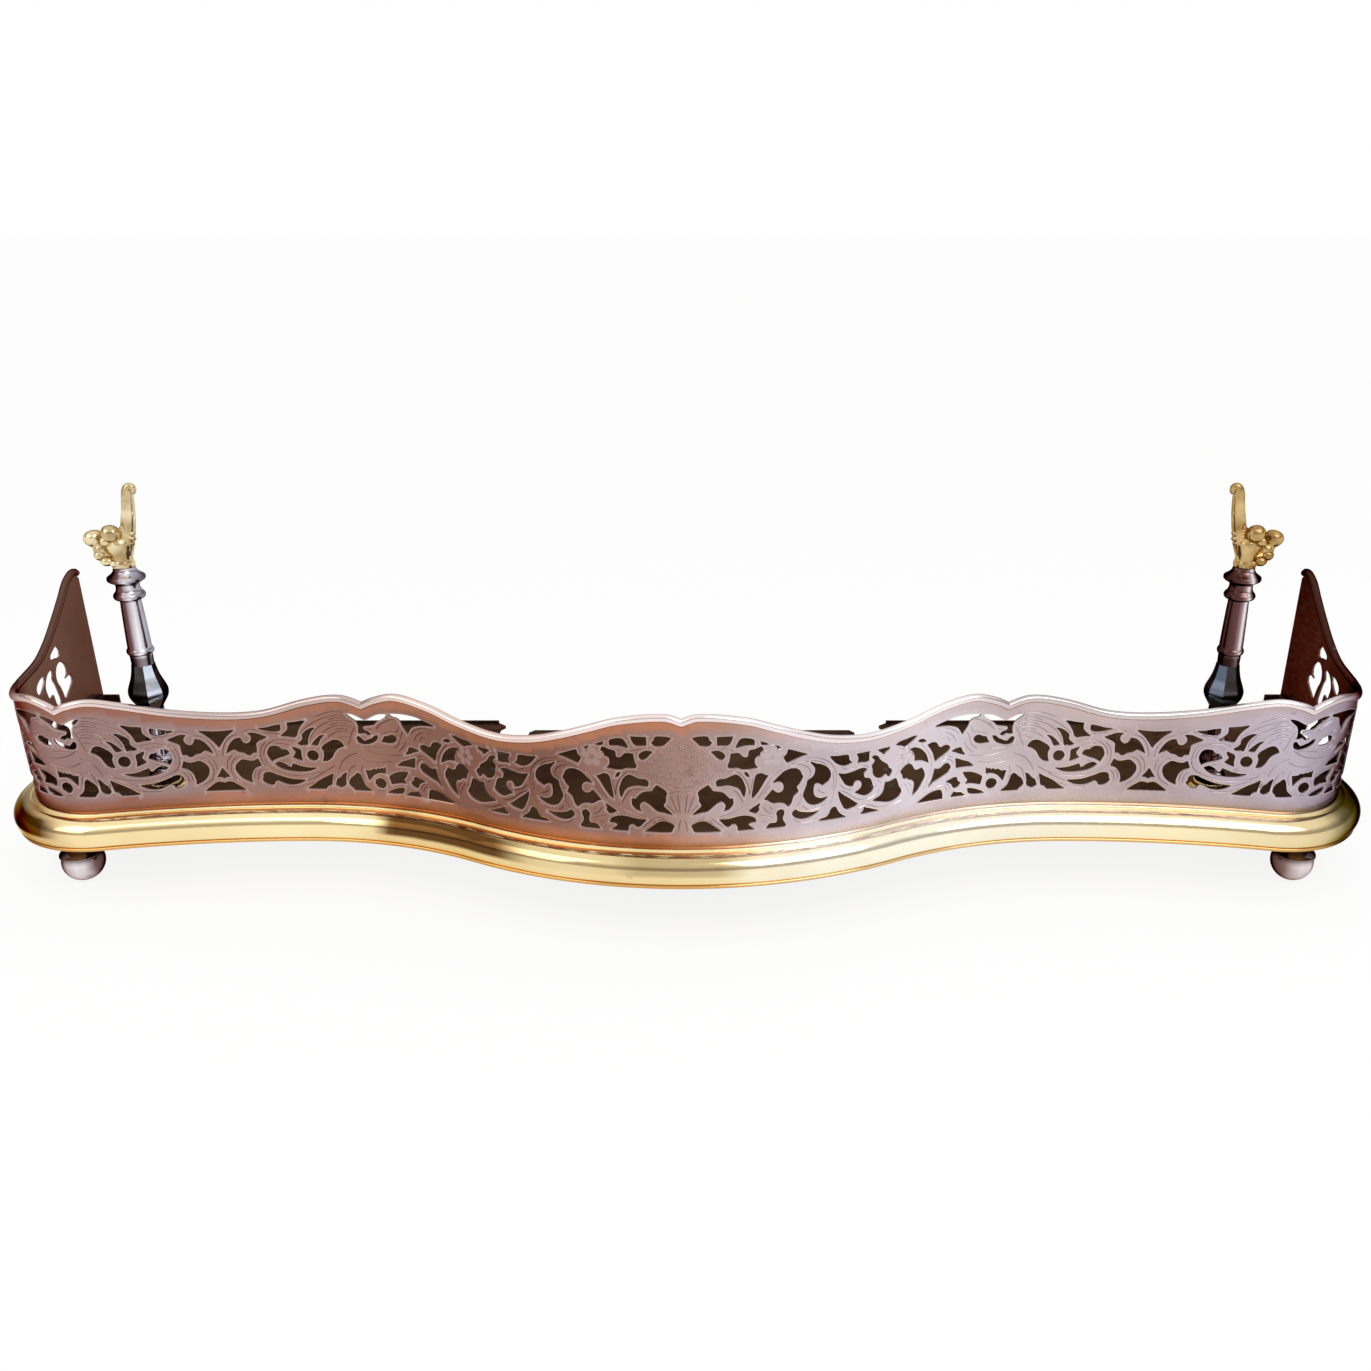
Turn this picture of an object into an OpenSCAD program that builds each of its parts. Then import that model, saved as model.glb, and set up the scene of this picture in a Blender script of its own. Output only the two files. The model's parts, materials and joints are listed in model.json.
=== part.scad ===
// Serpentine fire fender: pierced steel frieze with bead rims and rising wings, brass base
// moulding over an iron bar, a floor in three plates, ball feet and two rests for fire irons.
// Millimetres, +Z up, front towards -Y, origin on the hearth below the middle of the whole.

/* [Plan] */
// Width over the outer faces of the two wings
fender_w = 1204; // [1000:2:1500]
// From the front of the corners to the back edge of the floor
side_depth = 195; // [150:1:300]
// Radius of the front corners, on the outer face of the frieze
corner_r = 70; // [50:1:85]
// Distance between the two hollows of the front
hollow_span = 670; // [550:5:740]
// How far the hollows lie behind the front of the corners
hollow_set = 19.5; // [12:0.5:30]
// How far the middle stands forward of the corners
bulge = 61.5; // [45:0.5:80]
// Radius of the middle, on the outer face of the frieze
bulge_r = 380; // [300:5:430]

/* [Frieze] */
// Thickness of the pierced sheet
sheet_t = 2.5; // [1.5:0.1:4]
// Height of the sheet above the floor plates at its highest place in the middle
frieze_h = 112.5; // [95:0.5:140]
// Height of the wings above the floor plates
wing_h = 161; // [140:1:200]
// Diameter of the bead rim
bead_d = 7; // [5:0.5:10]
// Distance from the back edge of the floor to the back edge of the wings
wing_setback = 5; // [2:0.5:20]

/* [Base] */
// Height of the top of the floor plates above the hearth
floor_z = 81; // [72:1:110]
// Thickness of the floor plates
floor_t = 3; // [2:0.5:5]
// Height of the brass moulding
mould_h = 31; // [28:0.5:36]
// How far the moulding stands out from the frieze
mould_out = 21; // [18:0.5:26]
// Wall of the moulding
mould_t = 1.6; // [1:0.1:2.4]
// Thickness of the iron bar behind the moulding
bar_t = 6; // [4:0.5:8]
// How far the sheet reaches down over the bar
sheet_lap = 12; // [10:0.5:16]

/* [Floor] */
// Half the width of the middle plate at its back edge
middle_half_w = 165; // [120:1:200]
// Width of the open notch between two plates
notch_w = 26.6; // [15:0.5:40]
// Depth of the notch from the back edge of the outer plates
notch_d = 60; // [30:1:90]
// How far the back edge of the middle plate lies in front of the others
middle_set = 18; // [5:0.5:25]
// Height of the lip along the back edge of the outer plates
lip_h = 3; // [1:0.5:6]
// Thickness of the straps under the floor
strap_t = 3; // [2:0.5:5]

/* [Feet] */
// Diameter of the ball feet
ball_d = 37; // [34:1:50]
// Front feet: distance in from the outer face of the wing
front_feet_in = 45; // [38:1:120]
// Front feet: distance back from the front of the corners
front_feet_back = 25.25; // [22:0.25:34]
// Rear feet: distance in from the outer face of the wing
rear_feet_in = 27; // [22:0.5:40]
// Rear feet: distance forward from the back edge of the floor
rear_feet_forward = 29; // [20:1:60]
// Diameter of the pillars between feet and floor
pillar_d = 16; // [12:0.5:18]

/* [Tool rests] */
// Rests: distance in from the outer face of the wing
rest_in = 126; // [100:1:220]
// Rests: distance back from the front of the corners
rest_back = 43; // [36:0.5:80]
// Diameter of the rod inside each rest
rod_d = 6; // [5:0.5:8]
// Height of the eight-sided baluster's widest place above the floor plates
baluster_z = 96; // [90:1:104]

/* [Fasteners] */
// Diameter of the rivets and screws
rivet_d = 4; // [3:0.5:5]
// Distance between rivets along the front
rivet_pitch = 109; // [80:1:150]
// Clearance between neighbouring pieces
fit = 0.1; // [0.05:0.05:0.3]

/* [Hidden] */
$fn = 96;
EPS = 0.01;
BIG = 2000;

// ---- plan of the outer face: four arcs tangent to each other, then a straight wing ----
half_w = fender_w / 2;
hollow_x = hollow_span / 2;
front_y = (bulge + mould_out - side_depth) / 2; // front of the corners; centres the whole
back_y = front_y + side_depth;
wing_end_y = back_y - wing_setback;
swing = bulge + hollow_set;
hollow_r = (hollow_x * hollow_x + swing * swing) / (2 * swing) - bulge_r;
shoulder_dx = half_w - corner_r - hollow_x;
shoulder_dy = corner_r - hollow_set;
shoulder_r = (pow(shoulder_dx, 2) + pow(shoulder_dy, 2) - pow(corner_r, 2)) / (2 * hollow_set);
bulge_c = [0, front_y - bulge + bulge_r];
hollow_c = [hollow_x, front_y + hollow_set - hollow_r];
shoulder_c = [hollow_x, front_y + hollow_set - shoulder_r];
corner_c = [half_w - corner_r, front_y + corner_r];
bulge_turn = 90 + atan2(hollow_c.y - bulge_c.y, hollow_c.x - bulge_c.x);
shoulder_turn = 90 - atan2(corner_c.y - shoulder_c.y, corner_c.x - shoulder_c.x);

function arc_length(r, turn) = r * turn * PI / 180;
bulge_end = arc_length(bulge_r, bulge_turn);
hollow_end = bulge_end + arc_length(hollow_r, bulge_turn);
shoulder_end = hollow_end + arc_length(shoulder_r, shoulder_turn);
front_end = shoulder_end + arc_length(corner_r, 90 + shoulder_turn);
wing_len = wing_end_y - corner_c.y;

// [x, y, heading of the outward normal] at length s along the face, p outside it
function on_arc(c, r, a, side, p) =
    [c.x + (r + side * p) * cos(a), c.y + (r + side * p) * sin(a), side > 0 ? a : a + 180];
function turned(s, r) = s / r * 180 / PI;
function spot(s, p = 0) =
    s < bulge_end ? on_arc(bulge_c, bulge_r, -90 + turned(s, bulge_r), 1, p) :
    s < hollow_end
        ? on_arc(hollow_c, hollow_r, 90 + bulge_turn - turned(s - bulge_end, hollow_r), -1, p) :
    s < shoulder_end
        ? on_arc(shoulder_c, shoulder_r, 90 - turned(s - hollow_end, shoulder_r), -1, p) :
    s < front_end
        ? on_arc(corner_c, corner_r, -90 - shoulder_turn + turned(s - shoulder_end, corner_r), 1, p) :
    [half_w + p, corner_c.y + s - front_end, 0];

// ---- heights of the frieze's top edge above the floor plates ----
// Knots in the pattern's own lengths, [along, height]; cusps part the five sweeps.
design_front = 654; // front length in the pattern's own lengths
design_h = 112.5;
design_wing = 120;
design_wing_h = 161;
along_k = front_end / design_front;
high_k = frieze_h / design_h;
inner_sweep = [[0, 108], [14, 112.5], [50, 108.5], [75, 100.5], [100, 92], [125, 85], [155, 81],
    [180, 82.2], [205, 87], [230, 95], [260, 101], [278, 97], [292, 90.5]];
outer_sweep = [[292, 90.5], [312, 96.5], [340, 92.6], [380, 81.8], [415, 80.2], [460, 85],
    [500, 94], [524, 98.5], [540, 96], [550, 91.5]];
corner_sweep = [[550, 91.5], [562, 98], [577, 101], [610, 95], [640, 94], [654, 95.5]];
wing_sweep = [[0, 95.5], [26, 101.5], [46, 112], [66, 127], [86, 144], [98, 155], [107, 160],
    [114, 161], [120, 156]];

// smooth curve through knots
function slope_at(k, i) =
    i == 0 ? (k[1].y - k[0].y) / (k[1].x - k[0].x) :
    i == len(k) - 1 ? (k[i].y - k[i - 1].y) / (k[i].x - k[i - 1].x) :
    (k[i + 1].y - k[i - 1].y) / (k[i + 1].x - k[i - 1].x);
function hermite(a, b, ma, mb, w, t) =
    (2 * t * t * t - 3 * t * t + 1) * a + (t * t * t - 2 * t * t + t) * w * ma
    + (3 * t * t - 2 * t * t * t) * b + (t * t * t - t * t) * w * mb;
function knot_below(k, x, i = 0) = i >= len(k) - 2 || x < k[i + 1].x ? i : knot_below(k, x, i + 1);
function curve(k, x) =
    let(i = knot_below(k, x), w = k[i + 1].x - k[i].x)
    hermite(k[i].y, k[i + 1].y, slope_at(k, i), slope_at(k, i + 1), w, (x - k[i].x) / w);

// height above the floor plates at length s of the front, and at length y of a wing
function front_top(s) =
    let(d = s / along_k)
    high_k * curve(d < 292 ? inner_sweep : d < 550 ? outer_sweep : corner_sweep, d);
wing_foot = high_k * corner_sweep[len(corner_sweep) - 1].y;
function wing_top(y) =
    let(h = curve(wing_sweep, y / wing_len * design_wing), foot = wing_sweep[0].y)
    wing_foot + (h - foot) / (design_wing_h - foot) * (wing_h - wing_foot);
function steps(from, to, n) = [for (i = [0:n]) from + (to - from) * i / n];
function after_first(list) = [for (i = [1:len(list) - 1]) list[i]];
// lengths along the front at which both the frieze's top edge and the rims are drawn
first_cusp = 292 * along_k;
second_cusp = 550 * along_k;
top_lengths = concat(steps(0, first_cusp, 54), after_first(steps(first_cusp, second_cusp, 47)),
    after_first(steps(second_cusp, front_end, 19)));

// ---- openings of the pattern, [along, height], for the right half ----
stem_openings = [
    [[9, 99], [12, 100], [21, 100], [24, 95], [22, 92.5], [15, 93]],
    [[29, 99.5], [41, 99.5], [37.5, 92.7], [29, 92.7]],
    [[44, 90], [48, 97], [52, 97.4], [58.5, 95.5], [58.5, 91.5]],
    [[40, 84.3], [46, 84.5], [51, 80.3], [55, 86], [65, 90], [65, 82.5], [59, 78], [61.5, 71],
        [51, 69.5], [38, 72.2]],
    [[24, 86.8], [29, 87.3], [34.7, 82.5], [33, 80], [26.5, 84.3]],
    [[28, 59.5], [35, 61.8], [44, 65], [50.5, 56.5], [50.7, 45], [45.5, 53.6], [37, 56.5],
        [28.5, 55.7]],
    [[21, 56.5], [13, 49.5], [15.8, 39], [8.5, 29.8], [20.5, 33], [32, 41.8], [34.7, 32.8],
        [41.3, 38.5], [39, 43.2], [33, 49.3], [25, 51]],
    [[61, 64], [65, 65], [70.7, 62.5], [63.5, 50.5], [57.5, 43.5], [58.6, 53]],
    [[75, 56], [84.5, 65], [94.5, 66.3], [100, 58.8], [95, 48.3], [96.6, 45.5], [90, 34],
        [85, 35.8], [76.5, 36.8], [68, 41], [74.5, 49], [80.5, 45.7], [84.4, 51], [80, 56.6]],
    [[30.5, 24.5], [46, 26.5], [60, 23.5], [54, 18.5], [59, 14], [46, 13.8], [40.5, 20],
        [36, 18.3]],
    [[7.3, 19.5], [15, 23], [23, 20.2], [31, 13.8], [10, 13.8]],
    [[80.5, 29.6], [84.3, 28.3], [83.2, 22.5], [85.5, 14], [70, 13.8], [79, 19]],
    [[92, 25.5], [94.5, 28.2], [103.5, 24.6], [115, 24.5], [100.5, 19.3]],
    [[87.5, 84.5], [99.5, 80], [103.5, 78.6], [86.7, 73.3], [84, 78]],
    [[107, 71], [117.5, 66.7], [124.3, 59.5], [120.8, 50], [113.5, 51], [109.7, 47], [111, 38.8],
        [122.8, 36.5], [111, 31], [103.7, 35.8], [101.3, 41], [104.8, 54], [111.2, 60.5],
        [111.2, 65]],
    [[124.3, 73.4], [140.3, 72], [144.3, 65], [134.3, 64.2]],
    [[149, 71.6], [161.5, 71.6], [160, 63.4], [150, 63]],
    [[163.6, 66], [169, 65.3], [179, 55.7], [183.6, 47.2], [170, 45.7], [165.3, 51.5],
        [166.8, 61.5]],
    [[132.5, 56.3], [141, 55], [157, 56.8], [155.8, 50.3], [162.5, 45.5], [166.2, 36.5],
        [158, 31.5], [148.5, 36], [154.7, 40.5], [150, 47.2], [143.5, 43], [136.5, 49.5]],
    [[132.7, 39.7], [151.2, 24.5], [142, 21.6], [136.3, 28]],
    [[129, 25.5], [140, 14.5], [116, 14.8], [125, 19.5]],
    [[158, 19.5], [172, 13.8], [155, 14.3]],
    [[166.6, 24.5], [176.7, 31], [178.3, 39.2], [188.5, 40.3], [194.2, 25.5], [181, 20.2]],
    [[187.5, 72.6], [198, 75.7], [207.5, 77.2], [196, 69.2]]];
beast_openings = [
    [[202, 65.2], [209.7, 65], [220, 50], [207, 53.8]],
    [[193.5, 45.8], [200.5, 51.7], [208.5, 44.5], [213.8, 45.6], [216.6, 35], [206.7, 20.8],
        [207.8, 32.5], [200.3, 38.8], [197, 38.8]],
    [[219, 66.6], [226, 67.6], [232, 62.2], [240.2, 60.3], [227.3, 50], [222.8, 61.3]],
    [[225, 83], [240, 88], [254, 89.8], [267, 89.2], [257.5, 84], [251.2, 72.7], [242.8, 81]],
    [[270.8, 88.4], [283, 85], [291, 81.2], [307, 86.7], [297.5, 76.5], [297.6, 69.2],
        [286.7, 68.8], [293.6, 74], [282.5, 78.4]],
    [[280, 67.7], [289, 63], [297.5, 65.5], [298.2, 60], [284.5, 61.5]],
    [[262.7, 66.8], [267.5, 69.4], [276.7, 62.3], [264, 64]],
    [[246.7, 49.3], [259, 44.6], [263.6, 40.7], [247.8, 40.5]],
    [[227, 42.3], [239, 45.8], [241.6, 40.3], [222, 25.8]],
    [[239, 28], [247, 31], [252.3, 25.2], [247.8, 21]],
    [[255, 34.8], [272.8, 28.8], [271.6, 21.9], [258.2, 23.8]],
    [[276.5, 37.3], [294.8, 32.8], [292.8, 23.8], [283.5, 31.5]],
    [[260.3, 18.5], [275.8, 12.8], [262, 14.2]],
    [[212.4, 12], [224.3, 19.2], [234, 20.3], [236, 12]],
    [[292, 13.2], [299.3, 23], [302.8, 29.6], [310, 23.6], [307.5, 13.2]],
    [[313.2, 29.5], [322, 22.6], [324, 17.3], [315.4, 18]],
    [[325.8, 28], [349, 13.5], [334, 13.4], [328.5, 17.2]],
    [[312.7, 55.7], [318, 61], [332.4, 52.6], [332.5, 40.8], [322.4, 48.8]],
    [[329.3, 65.7], [333, 64.5], [340.8, 56.5], [336.3, 56]],
    [[337, 72.5], [345, 69.2], [353.3, 57.2], [345.5, 56]],
    [[344, 79.8], [360, 77], [366.8, 65], [353.5, 65]],
    [[367, 75.3], [385.5, 72], [370, 69.5]],
    [[380, 63.9], [390, 67.7], [395.5, 67.7], [392.8, 62.5], [397.4, 57.7], [402.8, 63.4],
        [410.5, 59.5], [415.8, 49.5], [409, 52.7], [397.4, 46.9], [390.5, 49.3], [389.6, 58]],
    [[388, 36.8], [390.3, 42.7], [403.5, 42.2], [410, 32], [397.8, 20.3], [397.4, 28]],
    [[339.7, 33.6], [352, 34.6], [359.8, 37.6], [361.7, 33.9], [372, 39.4], [375.5, 37.6],
        [360.5, 30.8], [346.5, 31]],
    [[351.2, 21.5], [363.5, 22.6], [380.5, 29.2], [387, 27.2], [388.5, 22.2], [382, 17.6],
        [378.2, 20.3], [362, 17.6]],
    [[362, 47.7], [370.5, 54.2], [378, 54], [380.8, 47.2], [378.2, 40.5]],
    [[352, 51], [358.5, 54], [359, 44.2], [351.3, 40.8]]];
axis_openings = [
    [[407.3, 71], [436.5, 71], [427.8, 63.4], [421.8, 55], [415.8, 63.4]],
    [[421.8, 34.5], [416.6, 26.5], [421.8, 25], [427, 26.5]],
    [[405, 13.3], [415.8, 21], [427.8, 21], [438.6, 13.3]]];
beast_rings = [[282.3, 21.3], [341.4, 45.8]]; // round holes of ring_r
ring_r = 4.6;
pattern_axis = 421.8; // the second beast faces the first across this line
pattern_end = 650;
// wing openings, [along the wing, height]
wing_openings = [
    [[46, 100], [46, 103.5], [57.5, 109.5], [61, 103.5], [59, 98]],
    [[59.5, 92], [65, 88], [66, 80], [62, 75], [69, 76], [72.5, 69], [57, 55.6], [52, 68], [47.5, 79],
        [49, 87]],
    [[42.5, 91], [41.5, 82], [45, 71], [48, 58], [46, 52], [39, 58], [37, 68], [30, 66],
        [27.3, 78], [35, 89]],
    [[29, 90], [25, 81.5], [17, 75.5], [13, 81], [17, 87]],
    [[10, 14], [16, 36], [30, 46], [27, 28], [40, 20], [36, 14]],
    [[46, 14], [50, 28], [38, 40], [56, 46], [74, 36], [70, 14]]];

// the second beast is drawn closer together towards the corner
function tighter(x) = let(t = max(0, min(1, (x - 505) / 50))) t * t * (3 - 2 * t);
function flipped(o) = [for (q = o) let(x = 2 * pattern_axis - q.x, t = tighter(x))
    [x - 7 * t, q.y + 2 * t]];
function last_x(o) = max([for (q = o) q.x]);
second_openings = [for (o = beast_openings) if (last_x(flipped(o)) < pattern_end - 5) flipped(o)];
front_openings = concat(stem_openings, beast_openings, second_openings, axis_openings);

// ---- placing things along the plan ----
// lengths along the right half at which the plan is drawn; each bend is short straight runs
plan_lengths = concat(steps(0, shoulder_end, 44),
    [for (i = [1:16]) shoulder_end + (front_end - shoulder_end) * i / 16]);
function backwards(list) = [for (i = [len(list) - 1:-1:0]) list[i]];
function plan_half(p) = [for (s = plan_lengths) spot(s, p)];
// the whole front from left to right at p outside the face, [x, y, heading]
function plan_line(p) =
    let(right = plan_half(p))
    concat([for (q = backwards(right)) if (q.x > EPS) [-q.x, q.y, 180 - q.z]], right);
function flat(line) = [for (q = line) [q.x, q.y]];

// an upright band between p_in and p_out, standing on z
module band(p_in, p_out, z, h) translate([0, 0, z]) linear_extrude(h)
    polygon(concat(flat(plan_line(p_out)), backwards(flat(plan_line(p_in)))));

// the right-hand side, from the corner to end_y
module along_side(end_y)
    translate([half_w, end_y, 0]) rotate([90, 0, 0])
        linear_extrude(end_y - corner_c.y - fit) children();

module on_left() mirror([1, 0, 0]) children();

// local x runs along the frieze, local y inwards, z up
module at_length(s, p = 0) {
    q = spot(s, p);
    translate([q.x, q.y, 0]) rotate([0, 0, q.z + 90]) children();
}

module both_halves() {
    children();
    on_left() children();
}

// ---- pierced frieze ----
sheet_foot_z = floor_z - sheet_lap;
rivet_z = floor_z - floor_t - sheet_lap / 2 + floor_t / 2;
rivet_lengths = [for (i = [0:floor((front_end - 30) / rivet_pitch)]) i * rivet_pitch];
side_rivets = [corner_c.y + wing_len * 0.3, corner_c.y + wing_len * 0.85];

// everything below the wavy top edge, seen from the front
module front_silhouette() {
    last = len(top_lengths) - 1;
    right = [for (i = [0:last])
        [spot(top_lengths[i]).x + (i == last ? 1 : 0), floor_z + front_top(top_lengths[i])]];
    left = [for (i = [last:-1:1]) [-right[i].x, right[i].y]];
    rotate([90, 0, 0]) linear_extrude(2 * side_depth, center = true)
        polygon(concat(right, [[half_w + 1, 0], [-half_w - 1, 0]], left));
}

module cut_through(o) {
    middle = (max([for (q = o) q.x]) + min([for (q = o) q.x])) / 2;
    at_length(middle * along_k) translate([0, sheet_t + 3, 0]) rotate([90, 0, 0])
        linear_extrude(sheet_t + 6)
            polygon([for (q = o) [(q.x - middle) * along_k, floor_z + q.y * high_k]]);
}

module cut_ring(q)
    at_length(q.x * along_k) translate([0, -3, floor_z + q.y * high_k]) rotate([-90, 0, 0])
        cylinder(h = sheet_t + 6, r = ring_r);

module rivet_hole(s)
    at_length(s) translate([0, -3, rivet_z]) rotate([-90, 0, 0])
        cylinder(h = sheet_t + bar_t + 6, d = rivet_d + 2 * fit);

module front_rivet_holes() {
    for (s = rivet_lengths) {
        rivet_hole(s);
        if (s > 0) on_left() rivet_hole(s);
    }
}

module frieze_front() color("rosybrown") difference() {
    intersection() {
        band(-sheet_t, 0, sheet_foot_z, sheet_lap + frieze_h + 1);
        front_silhouette();
    }
    both_halves() {
        for (o = front_openings) cut_through(o);
        for (q = beast_rings) cut_ring(q);
        for (q = flipped(beast_rings)) cut_ring(q);
    }
    front_rivet_holes();
}

// the wing's outline, [along the wing, height above the floor plates]
module wing_outline() {
    top = [for (y = steps(0, wing_len, 30)) [y, floor_z + wing_top(y)]];
    polygon(concat([[fit, sheet_foot_z]], [for (q = top) [max(q.x, fit), q.y]],
        [[wing_len, sheet_foot_z]]));
}

module side_hole(y, z)
    translate([half_w - sheet_t - bar_t - 8, y, z]) rotate([0, 90, 0])
        cylinder(h = sheet_t + bar_t + 12, d = rivet_d + 2 * fit);

module wing() color("rosybrown") difference() {
    translate([half_w - sheet_t, corner_c.y, 0]) rotate([90, 0, 90]) linear_extrude(sheet_t)
        difference() {
            wing_outline();
            for (o = wing_openings)
                polygon([for (q = o) [q.x * wing_len / design_wing, floor_z + q.y * high_k]]);
        }
    for (y = side_rivets) side_hole(y, rivet_z);
    side_hole(cleat_rivet_y, cleat_rivet_z);
}
module wing_right() wing();
module wing_left() on_left() wing();

// ---- bead rims: a round bead swept along the top edge, cut upright where two meet ----
bead_sides = 8;
rim_gap = 0.5;
function bead_ring(q, top, rise) =
    let(c = sqrt(1 + rise * rise), r = bead_d / 2, z = floor_z + top + r * c + rim_gap,
        mid = -sheet_t / 2)
    [for (i = [0:bead_sides - 1])
        let(a = 360 * (i + 0.5) / bead_sides, out = mid + r * cos(a))
        [q.x + out * cos(q.z), q.y + out * sin(q.z), z + r * c * sin(a)]];
function front_ring(s) =
    let(d = 0.5, a = max(s - d, 0), b = min(s + d, front_end))
    bead_ring(spot(s), front_top(s), (front_top(b) - front_top(a)) / (b - a));
function side_ring(y) =
    let(d = 0.5, b = min(y + d, wing_len), a = max(y - d, 0))
    bead_ring(spot(front_end + y), wing_top(y), (wing_top(b) - wing_top(a)) / (b - a));

module swept(rings) {
    n = len(rings[0]);
    last = len(rings) - 1;
    points = [for (ring = rings) each ring];
    walls = [for (i = [0:last - 1], j = [0:n - 1])
        let(k = (j + 1) % n)
        each [[i * n + j, (i + 1) * n + j, i * n + k], [i * n + k, (i + 1) * n + j, (i + 1) * n + k]]];
    polyhedron(points, concat(walls, [[for (j = [0:n - 1]) j]],
        [[for (j = [n - 1:-1:0]) last * n + j]]));
}

function rim_lengths(from, to) =
    concat([from], [for (s = top_lengths) if (s > from + 1 && s < to - 1) s], [to]);
module rim_inner() color("gainsboro")
    swept([for (s = rim_lengths(fit / 2, first_cusp - fit)) front_ring(s)]);
module rim_outer() color("gainsboro")
    swept([for (s = rim_lengths(first_cusp + fit, second_cusp - fit)) front_ring(s)]);
module rim_wing() color("gainsboro")
    swept(concat([for (s = rim_lengths(second_cusp + fit, front_end)) front_ring(s)],
        [for (i = [1:22]) side_ring(wing_len * i / 22 - (i == 22 ? 1 : 0))]));
module rim_inner_right() rim_inner();
module rim_inner_left() on_left() rim_inner();
module rim_outer_right() rim_outer();
module rim_outer_left() on_left() rim_outer();
module rim_wing_right() rim_wing();
module rim_wing_left() on_left() rim_wing();

// ---- brass moulding: narrow shelf, quirk, one broad ovolo and a small band ----
shelf_w = mould_out * 0.22;
shelf_drop = 1.2;
ovolo_top = [shelf_w + 1.4, -2.5];
ovolo_wide_z = -0.565 * mould_h;
ovolo_r = (pow(ovolo_wide_z - ovolo_top.y, 2) + pow(mould_out - ovolo_top.x, 2))
    / (2 * (mould_out - ovolo_top.x));
ovolo_start = atan2(ovolo_top.y - ovolo_wide_z, ovolo_top.x - mould_out + ovolo_r);
ovolo_end = -36;
lip_p = -sheet_t - bar_t - fit; // how far the bottom lip reaches in under the bar
ovolo_steps = 7;

function ovolo(r) = [for (a = steps(ovolo_start, ovolo_end, ovolo_steps))
    [mould_out - ovolo_r + r * cos(a), ovolo_wide_z + r * sin(a)]];
ovolo_foot = ovolo(ovolo_r)[ovolo_steps];
band_p = ovolo_foot.x + 0.4;

// a bent sheet: outer line down to the lip, then the inner line back up, [out, below the top]
mould_section = let(t = mould_t, foot = ovolo_foot) concat(
    [[fit, 0], [1.5, 0], [shelf_w, -shelf_drop], [shelf_w + 0.6, -shelf_drop * 2]],
    ovolo(ovolo_r),
    [[foot.x - 0.8, foot.y - 0.4], [band_p, foot.y - 1], [band_p, -mould_h + 1.6],
        [foot.x - 3, -mould_h], [lip_p, -mould_h], [lip_p, t - mould_h],
        [foot.x - 3 - 0.25 * t, t - mould_h], [band_p - t, 1.6 + 0.65 * t - mould_h]],
    backwards(ovolo(ovolo_r - t)),
    [[shelf_w + 0.6 - 0.85 * t, -shelf_drop * 2 - 0.75 * t],
            [shelf_w - 0.85 * t, -shelf_drop - 0.7 * t],
        [fit, -t]]);
function section_at(q) = [for (m = backwards(mould_section))
    [q.x + m.x * cos(q.z), q.y + m.x * sin(q.z), floor_z + m.y]];

screw_p = -sheet_t - bar_t / 2;
screw_lengths = [for (s = rivet_lengths) s + rivet_pitch / 2];
side_screws = [corner_c.y + wing_len * 0.2, corner_c.y + wing_len * 0.7];
lip_z = floor_z - mould_h;
screw_top_z = lip_z + 12;

module screw_hole(d) translate([0, 0, lip_z - 1]) cylinder(h = screw_top_z - lip_z + 1, d = d);
module front_screws_at()
    for (s = screw_lengths)
        if (s < front_end - 20) {
            at_length(s, screw_p) children();
            on_left() at_length(s, screw_p) children();
        }
module side_screws_at()
    for (y = side_screws) translate([half_w + screw_p, y, 0]) children();

module moulding_front() color("goldenrod") difference() {
    swept([for (q = plan_line(0)) section_at(q)]);
    front_screws_at() screw_hole(rivet_d + 2 * fit);
}
module moulding_side() color("goldenrod") difference() {
    along_side(back_y) translate([0, floor_z]) polygon(mould_section);
    side_screws_at() screw_hole(rivet_d + 2 * fit);
}
module moulding_right() moulding_side();
module moulding_left() on_left() moulding_side();

// ---- iron bar behind the moulding ----
bar_foot_z = lip_z + mould_t + fit;
bar_top_z = floor_z - floor_t - fit;
bar_p = -sheet_t - bar_t; // inner face
bar_out = -sheet_t - fit; // outer face

module bar_front() color("dimgray") difference() {
    band(bar_p, bar_out, bar_foot_z, bar_top_z - bar_foot_z);
    front_rivet_holes();
    front_screws_at() screw_hole(rivet_d);
}
module bar_side() color("dimgray") difference() {
    along_side(back_y) translate([bar_p, bar_foot_z])
        square([bar_out - bar_p, bar_top_z - bar_foot_z]);
    for (y = side_rivets) side_hole(y, rivet_z);
    side_screws_at() screw_hole(rivet_d);
}
module bar_right() bar_side();
module bar_left() on_left() bar_side();

// ---- floor plates ----
plate_p = -sheet_t - fit;
seam_x = middle_half_w + notch_w / 2;
notch_end_y = back_y - notch_d;
middle_back_y = back_y - middle_set;
lip_t = 2;
floor_edge = flat(plan_half(plate_p));

// y of the floor's front edge at a given x
function spot_y_at(x) =
    let(i = max([for (k = [0:len(floor_edge) - 1]) if (floor_edge[k].x <= x) k]), a = floor_edge[i],
        b = floor_edge[i + 1])
    a.y + (b.y - a.y) * (x - a.x) / (b.x - a.x);

module floor_outline() polygon(concat(floor_edge, [[half_w + plate_p, back_y], [0, back_y]]));

module outer_plate_outline() intersection() {
    floor_outline();
    union() {
        translate([seam_x + fit / 2, -BIG]) square([BIG, BIG + notch_end_y]);
        // the free end of the back edge is chamfered above a small hook
        polygon([[seam_x + notch_w / 2 + 4, notch_end_y - EPS], [BIG, notch_end_y - EPS],
            [BIG, back_y], [seam_x + notch_w / 2 + 8, back_y], [seam_x + notch_w / 2, back_y - 7],
            [seam_x + notch_w / 2 + 4, back_y - 13]]);
    }
}

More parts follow.
